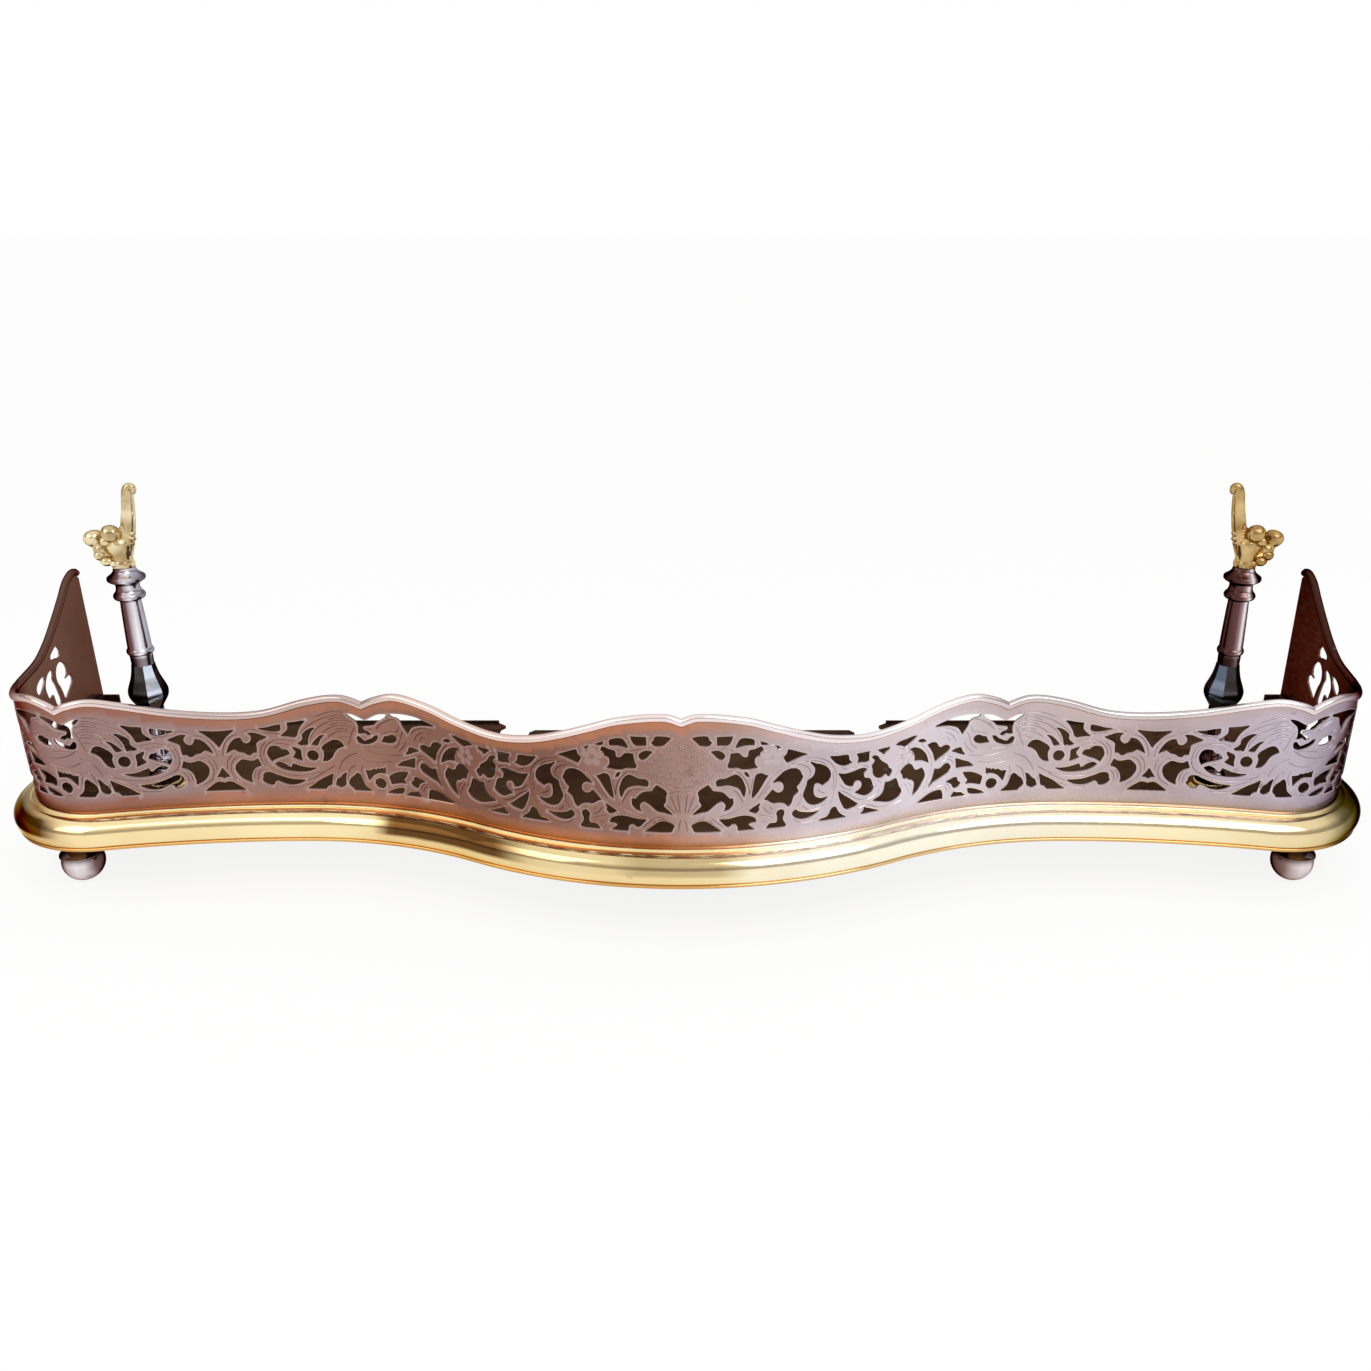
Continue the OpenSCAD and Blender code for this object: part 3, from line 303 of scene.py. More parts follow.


# openings of the right half, [along, above the floor]
stemOpenings = [
    [(9, 99), (12, 100), (21, 100), (22, 97), (24, 95), (22, 92.5), (15, 93), (12, 96)],
    [(29, 99.5), (41, 99.5), (40, 96), (37.5, 92.7), (29, 92.7)],
    [(44, 90), (45.5, 93.5), (48, 97), (52, 97.4), (58.5, 95.5), (58.5, 91.5), (51, 91.5)],
    [(64.3, 93.3), (67, 92.8), (70.5, 91), (65, 90.8)],
    [(40, 84.3), (46, 84.5), (48.5, 82), (51, 80.3), (54, 81), (55, 86), (60, 87.3), (65, 90),
     (66, 87.5), (65, 82.5), (61, 81), (59, 78), (59.5, 73.5), (61.5, 71), (54, 70), (51, 69.5),
     (46, 71.8), (38, 72.2), (37.5, 74), (39, 78)],
    [(24, 86.8), (29, 87.3), (33, 85.5), (34.7, 82.5), (33, 80), (29.5, 81), (26.5, 84.3)],
    [(51, 68), (53, 66.5), (54.8, 63), (53.3, 63.5), (51.5, 65.7)],
    [(28, 59.5), (30, 61.5), (35, 61.8), (39.5, 63.8), (44, 65), (48, 62), (50.5, 56.5),
     (51.7, 51.5), (50.7, 45), (49.3, 47.5), (48.3, 50.5), (45.5, 53.6), (42, 55.3), (37, 56.5),
     (32, 55.9), (28.5, 55.7)],
    [(21, 56.5), (14.5, 52), (13, 49.5), (14, 46.5), (14, 42.3), (15.8, 39), (15.5, 37),
     (12.5, 34), (8.5, 29.8), (15, 31.8), (20.5, 33), (25.5, 37.5), (29, 40.5), (32, 41.8),
     (34.5, 40.3), (35.8, 37.2), (34.7, 32.8), (38.5, 34.5), (41.3, 38.5), (41.2, 43.5),
     (39, 43.2), (36, 46.5), (33, 49.3), (28, 50.5), (25, 51), (22.8, 54.2)],
    [(61, 64), (65, 65), (68, 63.3), (70.7, 62.5), (68, 58.5), (63.5, 50.5), (60, 45.5),
     (57.5, 43.5), (57.8, 48), (58.6, 53), (59.3, 58)],
    [(75, 56), (80.5, 61.5), (84.5, 65), (90, 66.8), (94.5, 66.3), (97.5, 64), (99, 60.5),
     (100, 58.8), (99.2, 55.5), (97.5, 52.5), (95.3, 50.3), (95, 48.3), (96.6, 45.5),
     (93.5, 42.5), (91.2, 38), (90, 34), (88.2, 32.7), (85, 35.8), (80.5, 37.2), (76.5, 36.8),
     (73.5, 38), (70.5, 40.3), (68, 41), (70, 43.5), (74.5, 49), (77.4, 46.5), (80.5, 45.7),
     (83.6, 47.6), (84.4, 51), (83, 55), (80, 56.6), (77.5, 56.2)],
    [(55, 31.5), (60, 35), (64, 37.5), (62.5, 34), (63.2, 31.8), (60.5, 29.2)],
    [(30.5, 24.5), (35, 24.3), (40, 25), (46, 26.5), (51, 26.9), (56.5, 25.7), (60, 23.5),
     (60.5, 20.8), (56, 20.3), (54, 18.5), (56, 16.3), (59, 14), (46, 13.8), (45.7, 17.5),
     (43.8, 20), (40.5, 20), (38.5, 18), (36, 18.3), (33.3, 21.3)],
    [(7.3, 19.5), (10.5, 21.6), (15, 23), (19, 22.6), (23, 20.2), (27, 17), (31, 13.8),
     (10, 13.8), (8.7, 16.5)],
    [(80.5, 29.6), (82.5, 29.8), (84.3, 28.3), (84.2, 25.5), (83.2, 22.5), (84, 18.8),
     (86.3, 15), (85.5, 14), (70, 13.8), (72.5, 17.6), (77.3, 18), (79, 19), (79.3, 23.3),
     (78.5, 27.2)],
    [(92, 25.5), (94.5, 28.2), (98, 25.8), (103.5, 24.6), (110, 23.8), (115, 24.5),
     (111, 21.7), (106, 19.6), (100.5, 19.3), (96, 20.6), (93, 23)],
    [(87.5, 84.5), (92, 83), (99.5, 80), (103.5, 78.6), (98, 77.2), (90.5, 74.5), (86.7, 73.3),
     (85, 75.8), (84, 78), (86.3, 80.5)],
    [(75.5, 89), (78, 88.8), (80.5, 87.3), (77.2, 86)],
    [(107, 71), (111.5, 68.7), (117.5, 66.7), (122, 63.3), (124.3, 59.5), (124.7, 55.5),
     (123.5, 51.8), (120.8, 50), (118, 48.3), (116, 50), (113.5, 51), (111, 50.2), (109.7, 47),
     (109.7, 42.5), (111, 38.8), (114.3, 36.5), (118, 35.7), (122.8, 36.5), (119.5, 33.3),
     (115.5, 31.4), (111, 31), (106.5, 32.6), (103.7, 35.8), (101.3, 41), (103, 47),
     (104.3, 51), (104.8, 54), (109, 56.7), (111.2, 60.5), (111.2, 65), (109.3, 68)],
    [(124.3, 73.4), (131, 72.6), (140.3, 72), (141, 69), (142, 66.5), (144.3, 65),
     (141.5, 63.7), (138, 63.2), (134.3, 64.2), (130, 66.7), (126.8, 70.2)],
    [(149, 71.6), (161.5, 71.6), (160.3, 69), (160, 63.4), (157, 63), (153.5, 63.8),
     (150, 63), (150.8, 66.5), (150.3, 69.5)],
    [(169.3, 71.5), (181.2, 71.8), (180, 69.5), (177.4, 68.5), (175.5, 66.5), (172.5, 69)],
    [(163.6, 66), (166, 66.8), (169, 65.3), (171.5, 61.7), (175, 58.7), (179, 55.7),
     (180.5, 52.5), (183.2, 50.3), (183.6, 47.2), (182, 44.5), (180, 45.3), (179, 47.3),
     (177, 46.8), (175, 45.3), (170, 45.7), (166.7, 48.3), (165.3, 51.5), (165, 55),
     (164, 58), (166.8, 61.5), (165.8, 64)],
    [(132.5, 56.3), (136, 55.3), (141, 55), (147.5, 56), (153, 57.2), (157, 56.8), (159, 55.3),
     (156.5, 53), (155.8, 50.3), (157.4, 47.6), (160.5, 46.8), (162.5, 45.5), (164, 42),
     (165, 38.8), (166.2, 36.5), (164.7, 34), (162, 31.9), (158, 31.5), (154, 33),
     (150, 35.2), (148.5, 36), (152.5, 37.6), (154.7, 40.5), (154.7, 43.5), (153, 46.3),
     (150, 47.2), (147.4, 45.7), (146.2, 42.7), (143.5, 43), (139.7, 45), (136.5, 49.5),
     (134.2, 53.5)],
    [(132.7, 39.7), (135, 37.3), (138.3, 34.5), (143, 31), (147.5, 27.2), (151.2, 24.5),
     (149, 22.7), (146, 22.2), (142, 21.6), (139, 23), (136.3, 28), (134, 33.5)],
    [(129, 25.5), (131, 24.3), (132.5, 21), (135.5, 17.7), (140, 14.5), (116, 14.8),
     (118, 16.2), (122.8, 17.3), (125, 19.5), (126.5, 23.5)],
    [(158, 19.5), (163, 17.5), (168, 15.3), (172, 13.8), (161, 14), (155, 14.3), (157.5, 16.5)],
    [(166.6, 24.5), (173.5, 27.3), (176.7, 31), (177.8, 36.5), (178.3, 39.2), (182, 38.8),
     (186.5, 40), (188.5, 40.3), (190.3, 36.5), (191.7, 32.5), (194, 28.8), (194.2, 25.5),
     (192, 22.2), (187.5, 20.2), (181, 20.2), (173.5, 22.2)],
    [(187.5, 72.6), (191, 74.5), (198, 75.7), (203.5, 77), (207.5, 77.2), (204.3, 74.2),
     (201, 71.8), (196, 69.2), (193.5, 71), (190, 71.8)]]

beastOpenings = [
    [(209.3, 72), (212, 73), (215, 72.2), (216.5, 70.6), (214, 70.3), (211, 71)],
    [(202, 65.2), (205, 66.2), (209.7, 65), (214.3, 61.5), (217.7, 57), (220, 50),
     (217.3, 51.7), (214, 53.2), (210.5, 54), (207, 53.8), (207, 57.3), (206, 61), (204.3, 63.7)],
    [(193.5, 45.8), (196.5, 49.5), (200.5, 51.7), (203.5, 50.3), (204.8, 48.5), (206.2, 45.8),
     (208.5, 44.5), (211, 44.5), (213.8, 45.6), (215.8, 42.5), (217, 38.8), (216.6, 35),
     (215, 31), (212.8, 27.2), (209.8, 23.4), (206.7, 20.8), (207.5, 25), (207.9, 28.8),
     (207.8, 32.5), (206.5, 35), (204.3, 36.5), (202, 36.9), (200.3, 38.8), (197, 38.8),
     (195.7, 41), (195.3, 43.5)],
    [(219, 66.6), (222.8, 67.9), (226, 67.6), (228, 65.6), (229.3, 63.2), (232, 62.2),
     (236, 63.7), (239, 62.6), (240.2, 60.3), (238.3, 57.7), (236, 56), (233.5, 54.2),
     (230.5, 52.5), (227.3, 50), (226.3, 52.6), (225, 57.2), (222.8, 61.3)],
    [(225, 83), (230.5, 85), (236.5, 86.8), (240, 88), (246, 89.2), (254, 89.8), (261, 89.6),
     (267, 89.2), (265.5, 87.6), (260.5, 86.5), (257.5, 84), (256.2, 80.3), (254.2, 77),
     (251.2, 72.7), (249.5, 75.8), (246.6, 79.2), (242.8, 81), (238, 82.2), (233, 82.7)],
    [(270.8, 88.4), (277, 87.6), (283, 85), (287.5, 82.3), (291, 81.2), (296, 83.5),
     (301, 85.7), (307, 86.7), (303, 83.5), (299, 80.3), (297.5, 76.5), (297, 72),
     (297.6, 69.2), (294.8, 69), (292, 69.8), (289.5, 67.7), (286.7, 68.8), (289, 71),
     (292, 71.8), (293.6, 74), (292.5, 76), (288, 77), (282.5, 78.4), (280.5, 80.7),
     (275, 84.2), (272.5, 86)],
    [(280, 67.7), (282.7, 67.2), (285, 65), (289, 63), (293.3, 61.5), (295.5, 63.5),
     (297.5, 65.5), (299, 65.3), (299.4, 62.5), (298.2, 60), (294.5, 58.8), (289.5, 59.5),
     (284.5, 61.5), (281.6, 64.2)],
    [(262.7, 66.8), (264.7, 69.2), (267.5, 69.4), (270.5, 68), (273.8, 67.2), (274.8, 65),
     (276.7, 62.3), (272, 61.8), (267.3, 62.3), (264, 64)],
    [(242.7, 57.2), (246.5, 58.8), (250.7, 59.3), (252.3, 56), (254.8, 52.7), (251, 53.8),
     (247, 55.7)],
    [(246.7, 49.3), (249.5, 48.4), (253.5, 46.6), (259, 44.6), (263.6, 40.7), (256, 40.8),
     (247.8, 40.5), (247.7, 44.5)],
    [(227, 42.3), (230.5, 41.5), (233.5, 42.6), (236, 45), (239, 45.8), (241.2, 43.8),
     (241.6, 40.3), (239.7, 37.2), (235, 34.2), (230.5, 31.8), (226, 29.6), (222, 25.8),
     (224.3, 30), (225.8, 35), (226.8, 39.5)],
    [(239, 28), (243.5, 29.5), (247, 31), (249, 30.3), (249.5, 27.6), (252.3, 25.2),
     (250.8, 21.8), (247.8, 21), (246, 22.3), (244.5, 25.3), (242, 26.8)],
    [(255, 34.8), (260.5, 34.6), (266, 33), (270.5, 30.6), (272.8, 28.8), (271.6, 21.9),
     (268, 22.7), (263.5, 23.8), (258.2, 23.8), (260, 27), (257.5, 30.5)],
    [(276.5, 37.3), (278, 35.5), (279.5, 36.3), (281, 34.8), (283, 35.6), (284.5, 34.3),
     (287.5, 34.8), (290, 33), (294.8, 32.8), (292.8, 23.8), (290.5, 26.5), (287.4, 29.6),
     (283.5, 31.5), (279.7, 31.9), (277, 31.5)],
    [(260.3, 18.5), (264.5, 18), (269, 16.5), (273.3, 14.5), (275.8, 12.8), (268, 12.8),
     (262, 14.2)],
    [(247.3, 16.7), (250.5, 15.6), (253.5, 15.5), (257.8, 12.3), (245, 12.3)],
    [(212.4, 12), (218, 15.7), (224.3, 19.2), (229.7, 20.5), (234, 20.3), (235.7, 16), (236, 12)],
    [(292, 13.2), (297.5, 18), (299.3, 23), (300.8, 28), (302.8, 29.6), (306, 27),
     (310, 23.6), (311.7, 18.8), (310.5, 16.5), (308.5, 15), (307.5, 13.2)],
    [(313.2, 29.5), (316, 28), (319, 24.6), (322, 22.6), (324, 17.3), (320.5, 15.3),
     (317, 16.6), (315.4, 18), (315, 22.5), (314.3, 26.5)],
    [(325.8, 28), (330, 25.7), (336, 22.6), (341, 19.3), (345, 16), (349, 13.5), (334, 13.4),
     (332.5, 15.3), (330.5, 16.8), (328.5, 17.2), (327.2, 22.5)],
    [(312.7, 55.7), (315, 59.2), (318, 61), (322, 60.8), (326.5, 58.4), (330.5, 55.7),
     (332.4, 52.6), (331.2, 49), (331.2, 45.5), (332.5, 40.8), (329, 41.2), (325, 44.2),
     (322.4, 48.8), (319.7, 52.2), (316, 54.5)],
    [(329.3, 65.7), (333, 64.5), (336.6, 61.5), (339.7, 58), (340.8, 56.5), (336.3, 56),
     (334.7, 58.8), (332.7, 62.5)],
    [(337, 72.5), (341, 71.5), (345, 69.2), (348.2, 65.8), (348.2, 62.5), (349.7, 60),
     (353.3, 57.2), (351, 56), (347.4, 56.5), (345.5, 56), (344.7, 58), (344, 61.8),
     (342, 66.5), (339.7, 70)],
    [(344, 79.8), (352, 78), (360, 77), (360, 72), (362, 69), (366.8, 65), (361, 64.6),
     (356, 63.8), (353.5, 65), (352.4, 68), (351, 71.2), (348, 75.8)],
    [(367, 75.3), (372, 74.5), (379, 72.7), (385.5, 72), (381, 70.7), (375.5, 69.5),
     (370, 69.5), (367, 71)],
    [(380, 63.9), (384.5, 65.7), (390, 67.7), (395.5, 67.7), (393.5, 65.7), (392.8, 62.5),
     (394.3, 59.5), (397.4, 57.7), (400.5, 58.8), (402, 61.5), (402.8, 63.4), (406.6, 62.6),
     (410.5, 59.5), (413.5, 55), (415.8, 49.5), (413, 51.3), (409, 52.7), (405.8, 50.5),
     (401, 49.2), (397.4, 46.9), (395, 47.6), (393.5, 49.3), (390.5, 49.3), (390, 53.5),
     (389.6, 58), (387.3, 60.3), (383.5, 62.2)],
    [(388, 36.8), (390.3, 42.7), (393.5, 41), (397.5, 41), (403.5, 42.2), (407.4, 39.5),
     (409.7, 36.5), (410, 32), (407.4, 26.5), (403, 22.7), (397.8, 20.3), (398.3, 23.5),
     (397.4, 28), (395.5, 31.8), (392.8, 34.8)],
    [(339.7, 33.6), (345, 33.4), (352, 34.6), (359.8, 37.6), (361.7, 33.9), (363.5, 34.5),
     (367.4, 37.5), (372, 39.4), (375.5, 37.6), (372.7, 35), (367.5, 32.3), (360.5, 30.8),
     (353.5, 30.3), (346.5, 31)],
    [(351.2, 21.5), (356, 21.8), (363.5, 22.6), (370, 24.6), (376.5, 27.2), (380.5, 29.2),
     (385, 29.2), (387, 27.2), (387.4, 24), (388.5, 22.2), (385.8, 19.2), (382, 17.6),
     (379.3, 18), (378.2, 20.3), (375.8, 21.8), (372.8, 20.3), (367.4, 18), (362, 17.6),
     (356.5, 18.8)],
    [(362, 47.7), (364, 51), (368.2, 51.8), (370.5, 54.2), (374.3, 55), (378, 54),
     (380, 51), (380.8, 47.2), (379.8, 43.5), (378.2, 40.5), (375.8, 42.2), (372, 43.8),
     (367.2, 45.3)],
    [(352, 51), (355, 52.6), (358.5, 54), (357.8, 51.5), (356, 49), (357, 46.5), (359, 44.2),
     (355.8, 42.6), (351.3, 40.8), (352, 44.3), (351.8, 48)]]

axisOpenings = [
    [(407.3, 71), (422, 70), (436.5, 71), (431.5, 67.2), (427.8, 63.4), (423.7, 58),
     (421.8, 55), (419.7, 58), (415.8, 63.4), (412, 67.2)],
    [(421.8, 34.5), (419.5, 30.5), (416.6, 26.5), (420, 26.3), (421.8, 25), (423.6, 26.3),
     (427, 26.5), (424.2, 30.5)],
    [(405, 13.3), (411, 18), (415.8, 21), (419, 21), (421.8, 20), (424.6, 21), (427.8, 21),
     (432.6, 18), (438.6, 13.3)]]

pattern = {"axis": 421.8, "lastOpening": 646, "ring": 4.6, "ringParts": 22,
           "rings": [(282.3, 21.3), (341.4, 45.8)]}

# wing openings, [along the wing, above the floor]; the lower scrolls are hidden in the photo
wingOpenings = [
    [(57.8, 109.8), (61.6, 103.3), (59.3, 97.6), (53.4, 98.4), (45.6, 99.7), (45.3, 103.3),
     (51.3, 107.1)],
    [(59.7, 92.5), (65, 88.5), (67, 82), (65.3, 77.4), (62, 74.6), (66.2, 75.3), (70, 75.6),
     (72.8, 71.5), (72, 68), (68, 63.7), (61.4, 59.1), (57.2, 56), (54.6, 58), (53.2, 63),
     (51, 70), (47.8, 76.5), (47.4, 82), (49.2, 87.5), (53.5, 92)],
    [(42.3, 91.4), (43.5, 87.9), (41.3, 81.7), (43.5, 76.7), (45.2, 71), (46.9, 64.1),
     (47.9, 58.4), (46.3, 52.2), (42, 54.5), (38.9, 58.4), (38, 63.5), (37, 67.8), (34, 66.6),
     (30.2, 66.1), (28.1, 71.8), (27.3, 78.2), (30.4, 84.9), (35.1, 89.4)],
    [(29.5, 90.3), (28.4, 85.8), (24.8, 81.2), (21.5, 78), (17.2, 75.5), (13.9, 77.7),
     (13, 82), (15.1, 85.5), (20.9, 88.9)],
    [(10, 14), (11, 26), (16, 36), (23, 42), (30, 46), (33, 41), (29, 35), (27, 28), (31, 22),
     (38, 19), (36, 14)],
    [(46, 14), (50, 21), (49, 28), (43, 34), (38, 40), (45, 46), (56, 46), (68, 42), (76, 34),
     (74, 24), (66, 30), (58, 30), (60, 22), (68, 17), (70, 14)]]

# chased lines of the right half, drawn as the openings are
stemLines = [
    [(2, 31), (3, 40), (4, 49)], [(4, 31), (7, 40), (10, 48)], [(6, 31), (11, 37), (14, 41)],
    [(0, 51.5), (7, 51), (12.5, 48.5)], [(3.5, 14), (3, 20), (1.5, 26)],
    [(2, 55.5), (9, 56), (16, 60.5), (21, 63)], [(30, 27.5), (38, 29.5), (46, 33), (54, 39)],
    [(33, 53.2), (42, 51.5), (47, 46), (50, 39)], [(36, 46), (42.5, 43)],
    [(15, 27.5), (22, 27), (28, 22.5), (34, 17.5)], [(12, 25), (20, 25), (27, 19)],
    [(36, 68.7), (44, 68), (50, 63), (54, 55), (55.5, 46)], [(58, 62), (57, 54), (55.5, 47)],
    [(62, 42), (68, 52), (74, 61), (82, 67.5)], [(66, 45), (72, 54), (76, 59)],
    [(86, 69), (95, 70.5), (104, 67), (107, 61), (104, 56)], [(90, 71.5), (100, 73), (106, 71.5)],
    [(103, 75.5), (115, 73.5), (124, 68), (129, 60), (130, 50), (128, 38), (125, 29)],
    [(106, 73), (116, 70), (124, 63), (127.5, 54), (127, 42)],
    [(131, 66), (138, 60), (148, 59.5), (157, 59.5), (161, 56)],
    [(133, 41), (140, 37.5), (148, 31), (156, 28), (164, 28.5), (171, 33), (173, 40), (169, 44)],
    [(133, 47), (138, 42), (146, 39)], [(150, 20), (160, 22), (172, 17.5), (186, 16.5), (197, 20)],
    [(100, 32), (106, 27.5), (116, 28), (124, 33)], [(113, 46), (116, 42.5), (121, 40.5)],
    [(95, 31), (99, 38), (98, 46)], [(92, 21), (98, 16.5), (106, 16), (114, 18.5)],
    [(66, 35), (70, 30), (75, 27)], [(63, 28), (69, 25.5), (75, 24)], [(65, 20.5), (70, 21)],
    [(72, 34.5), (74.5, 30.5)], [(196, 35), (200, 30), (202.5, 23)],
    [(200.5, 35), (204, 30), (205, 24)],
    [(192, 36), (195.5, 31)], [(187, 43), (190, 48), (190, 53)], [(32, 89.5), (38, 88), (42, 87.5)]]

beastLines = [
    [(212, 68.7), (218, 62), (222.3, 53), (223, 44), (221, 35), (216.5, 25)],
    [(216, 20), (221, 24), (226, 27.5)], [(226, 79.5), (236, 80), (244, 77), (248, 72.5)],
    [(229, 75.5), (237, 75.5), (243, 71), (245, 66)], [(232, 71), (237, 71), (240, 67)],
    [(230, 47), (236, 50), (242, 49), (245, 44)], [(233, 52), (239, 53), (244, 51)],
    [(232, 23.5), (238, 23.5), (241.5, 18)], [(224, 21.5), (232, 25.5), (240, 25.5), (244, 19.5)],
    # neck, head and eye
    [(258, 85), (266, 84.5), (275, 80), (281, 73.5)], [(276, 76), (278.5, 77.2), (280, 75.5)],
    [(255, 75), (258, 69), (260.5, 62), (266, 57)], [(258.5, 80), (261, 74), (268, 72.5), (275, 71)],
    [(253, 66), (256, 60), (262, 54)], [(284, 75), (287, 73.5), (290, 73.5)],
    # body and legs
    [(258, 52), (268, 50), (280, 50), (291, 53), (299, 58)],
    [(268, 44.5), (280, 42), (292, 42.5), (302, 47)],
    [(276, 56.5), (286, 56.5), (295, 56.5)], [(300, 50), (309, 46.5), (316, 40), (320, 32)],
    [(303, 38), (309, 34), (312, 26), (313, 18)], [(297, 38.5), (299, 32), (297, 24)],
    [(324, 27), (325.5, 21)], [(276, 20), (281, 14.5), (286, 14.5)],
    # wing feathers
    [(300, 84), (312, 85.5), (325, 83), (337, 78), (347, 70.5), (350, 67)],
    [(301, 79.5), (313, 80.5), (325, 78), (335, 72), (341.5, 63), (342, 59)],
    [(302, 74.5), (313, 75.5), (322, 73.5), (330, 68), (334.5, 60.5)],
    [(303, 69.5), (312, 70), (320, 68), (326, 64)], [(304, 64.5), (310, 65), (316, 64)],
    [(308, 88.5), (322, 88), (336, 83)], [(299, 77), (303, 70), (306, 62), (309, 57)],
    [(307, 82.5), (316, 83), (324, 80.5)], [(307, 77.5), (315, 78), (322, 75.8)],
    [(306, 72), (313, 72.8), (319, 71)],
    # scroll of the tail
    [(322, 37), (333, 30.5), (347, 27), (362, 26.5), (375, 30.5), (384, 36), (387, 44),
     (385.5, 54), (380, 60)],
    [(329, 33), (339, 26), (350, 21)], [(330, 26.5), (341, 21), (353, 16), (368, 14.8)],
    [(356, 60), (366, 61.5), (375, 60), (382, 54), (384.5, 46)],
    [(360, 56), (367, 57.5), (373, 58)], [(366, 42), (372, 40.5), (379, 38.5)],
    [(391, 35), (394.5, 29.5), (395.5, 23.5)], [(388, 33), (391.5, 28), (392, 22)],
    [(404, 46), (409.5, 44), (413.5, 38), (414, 30), (410.5, 23.5), (403, 19)],
    [(411, 48), (416, 42), (417.5, 33)], [(404, 67.5), (412, 64), (417.5, 56), (419.5, 46)],
    [(386, 71), (392, 71.5), (399, 69.5)], [(366, 67), (374, 67.5), (382, 68.5)]]

wingLines = [
    [(10, 70), (20, 72), (27, 64), (36, 60)], [(9, 60), (20, 62), (32, 54), (44, 49)],
    [(50, 60), (49, 70), (44.5, 78), (46, 88), (50, 95)], [(62, 72), (68, 72)],
    [(56, 52), (66, 58), (76, 68), (79, 78)], [(24, 97), (38, 97), (48, 95), (60, 96), (68, 100)],
    [(72, 90), (76, 82), (84, 76)], [(10, 92), (20, 93.5), (34, 93.5)], [(20, 24), (24, 34)],
    [(58, 36), (66, 32)]]


# the second beast mirrors the first and is drawn closer together towards the corner
squeeze = {"from": 505, "over": 50, "along": 7, "up": 2}


def flipped(line):
    out = []
    for s, z in reversed(line):
        s = 2 * pattern["axis"] - s
        t = max(0.0, min(1.0, (s - squeeze["from"]) / squeeze["over"]))
        share = t * t * (3 - 2 * t)
        out.append((s - squeeze["along"] * share, z + squeeze["up"] * share))
    return out


# edge is the chamfer, rub the width of the painted highlight along the edges of the holes, lowBand and
# highBand are the plain borders
sheet = {"thickness": 2.5, "lap": 12, "edge": 0.32, "relief": 0.55, "softEdge": 3.0, "rubAndPaintedShine": 1.3,
         "grid": 6.0, "fineGrid": 2.8, "spare": 0.28, "topStep": 2, "sideStep": 3,
         "grooveWidth": 0.8, "grooveDepth": 0.4, "grooveStep": 1.1, "leastGroove": 5,
         "widen": 0.55, "leastBar": 2.0, "nearest": 24, "lowBand": 11.5, "highBand": 6.5,
         "crease": 32}
# overlap and wingOverlap: how far the sheet stands up into the bead above its gap
rim = {"radius": 3.5, "gap": 0.5, "overlap": 1.2, "wingOverlap": 1.0, "sides": 24, "step": 2.5,
       "overrun": 7, "crease": 40}


# widens each opening where the bars beside it leave room
def openedUp(holes):
    holes = [anticlockwise(h) for h in holes]
    owner = [k for k, h in enumerate(holes) for q in h]
    tree = pointTree([q for h in holes for q in h])
    out = []
    for k, h in enumerate(holes):
        wide = offsetLoop(h, sheet["widen"])
        for i, (s, z) in enumerate(h):
            near = [d for co, n, d in tree.find_n((s, z, 0), sheet["nearest"]) if owner[n] != k]
            room = (min(near) - sheet["leastBar"]) / 2 if near else sheet["widen"]
            share = max(0.0, min(1.0, room / sheet["widen"]))
            wide[i] = (s + (wide[i][0] - s) * share, z + (wide[i][1] - z) * share)
        out.append(wide)
    return out


# each chased line is a narrow V with pointed ends
def addGroove(run, coords, edges, depth):
    start, n = len(coords), len(run)
    left, right = [], []
    for i, q in enumerate(run):
        d = run[min(i + 1, n - 1)] - run[max(i - 1, 0)]
        side = Vector((-d.y, d.x)).normalized()
        side *= sheet["grooveWidth"] / 2 * min(1.0, min(i, n - 1 - i) / 3 + 0.15)  # narrow ends
        if 0 < i < n - 1:
            depth[len(coords)] = sheet["grooveDepth"]
        coords.append(q)
        left.append(q + side)
        right.append(q - side)
    edges += [(start + i, start + i + 1) for i in range(n - 1)]
    for line in (left[1:-1], right[1:-1]):
        chain = [start] + list(range(len(coords), len(coords) + len(line))) + [start + n - 1]
        coords += line
        edges += list(zip(chain, chain[1:]))


def plainBand(z, top):  # 1 on the unpierced borders
    return 1.0 if z > top - sheet["highBand"] or z < sheet["lowBand"] else 0.0


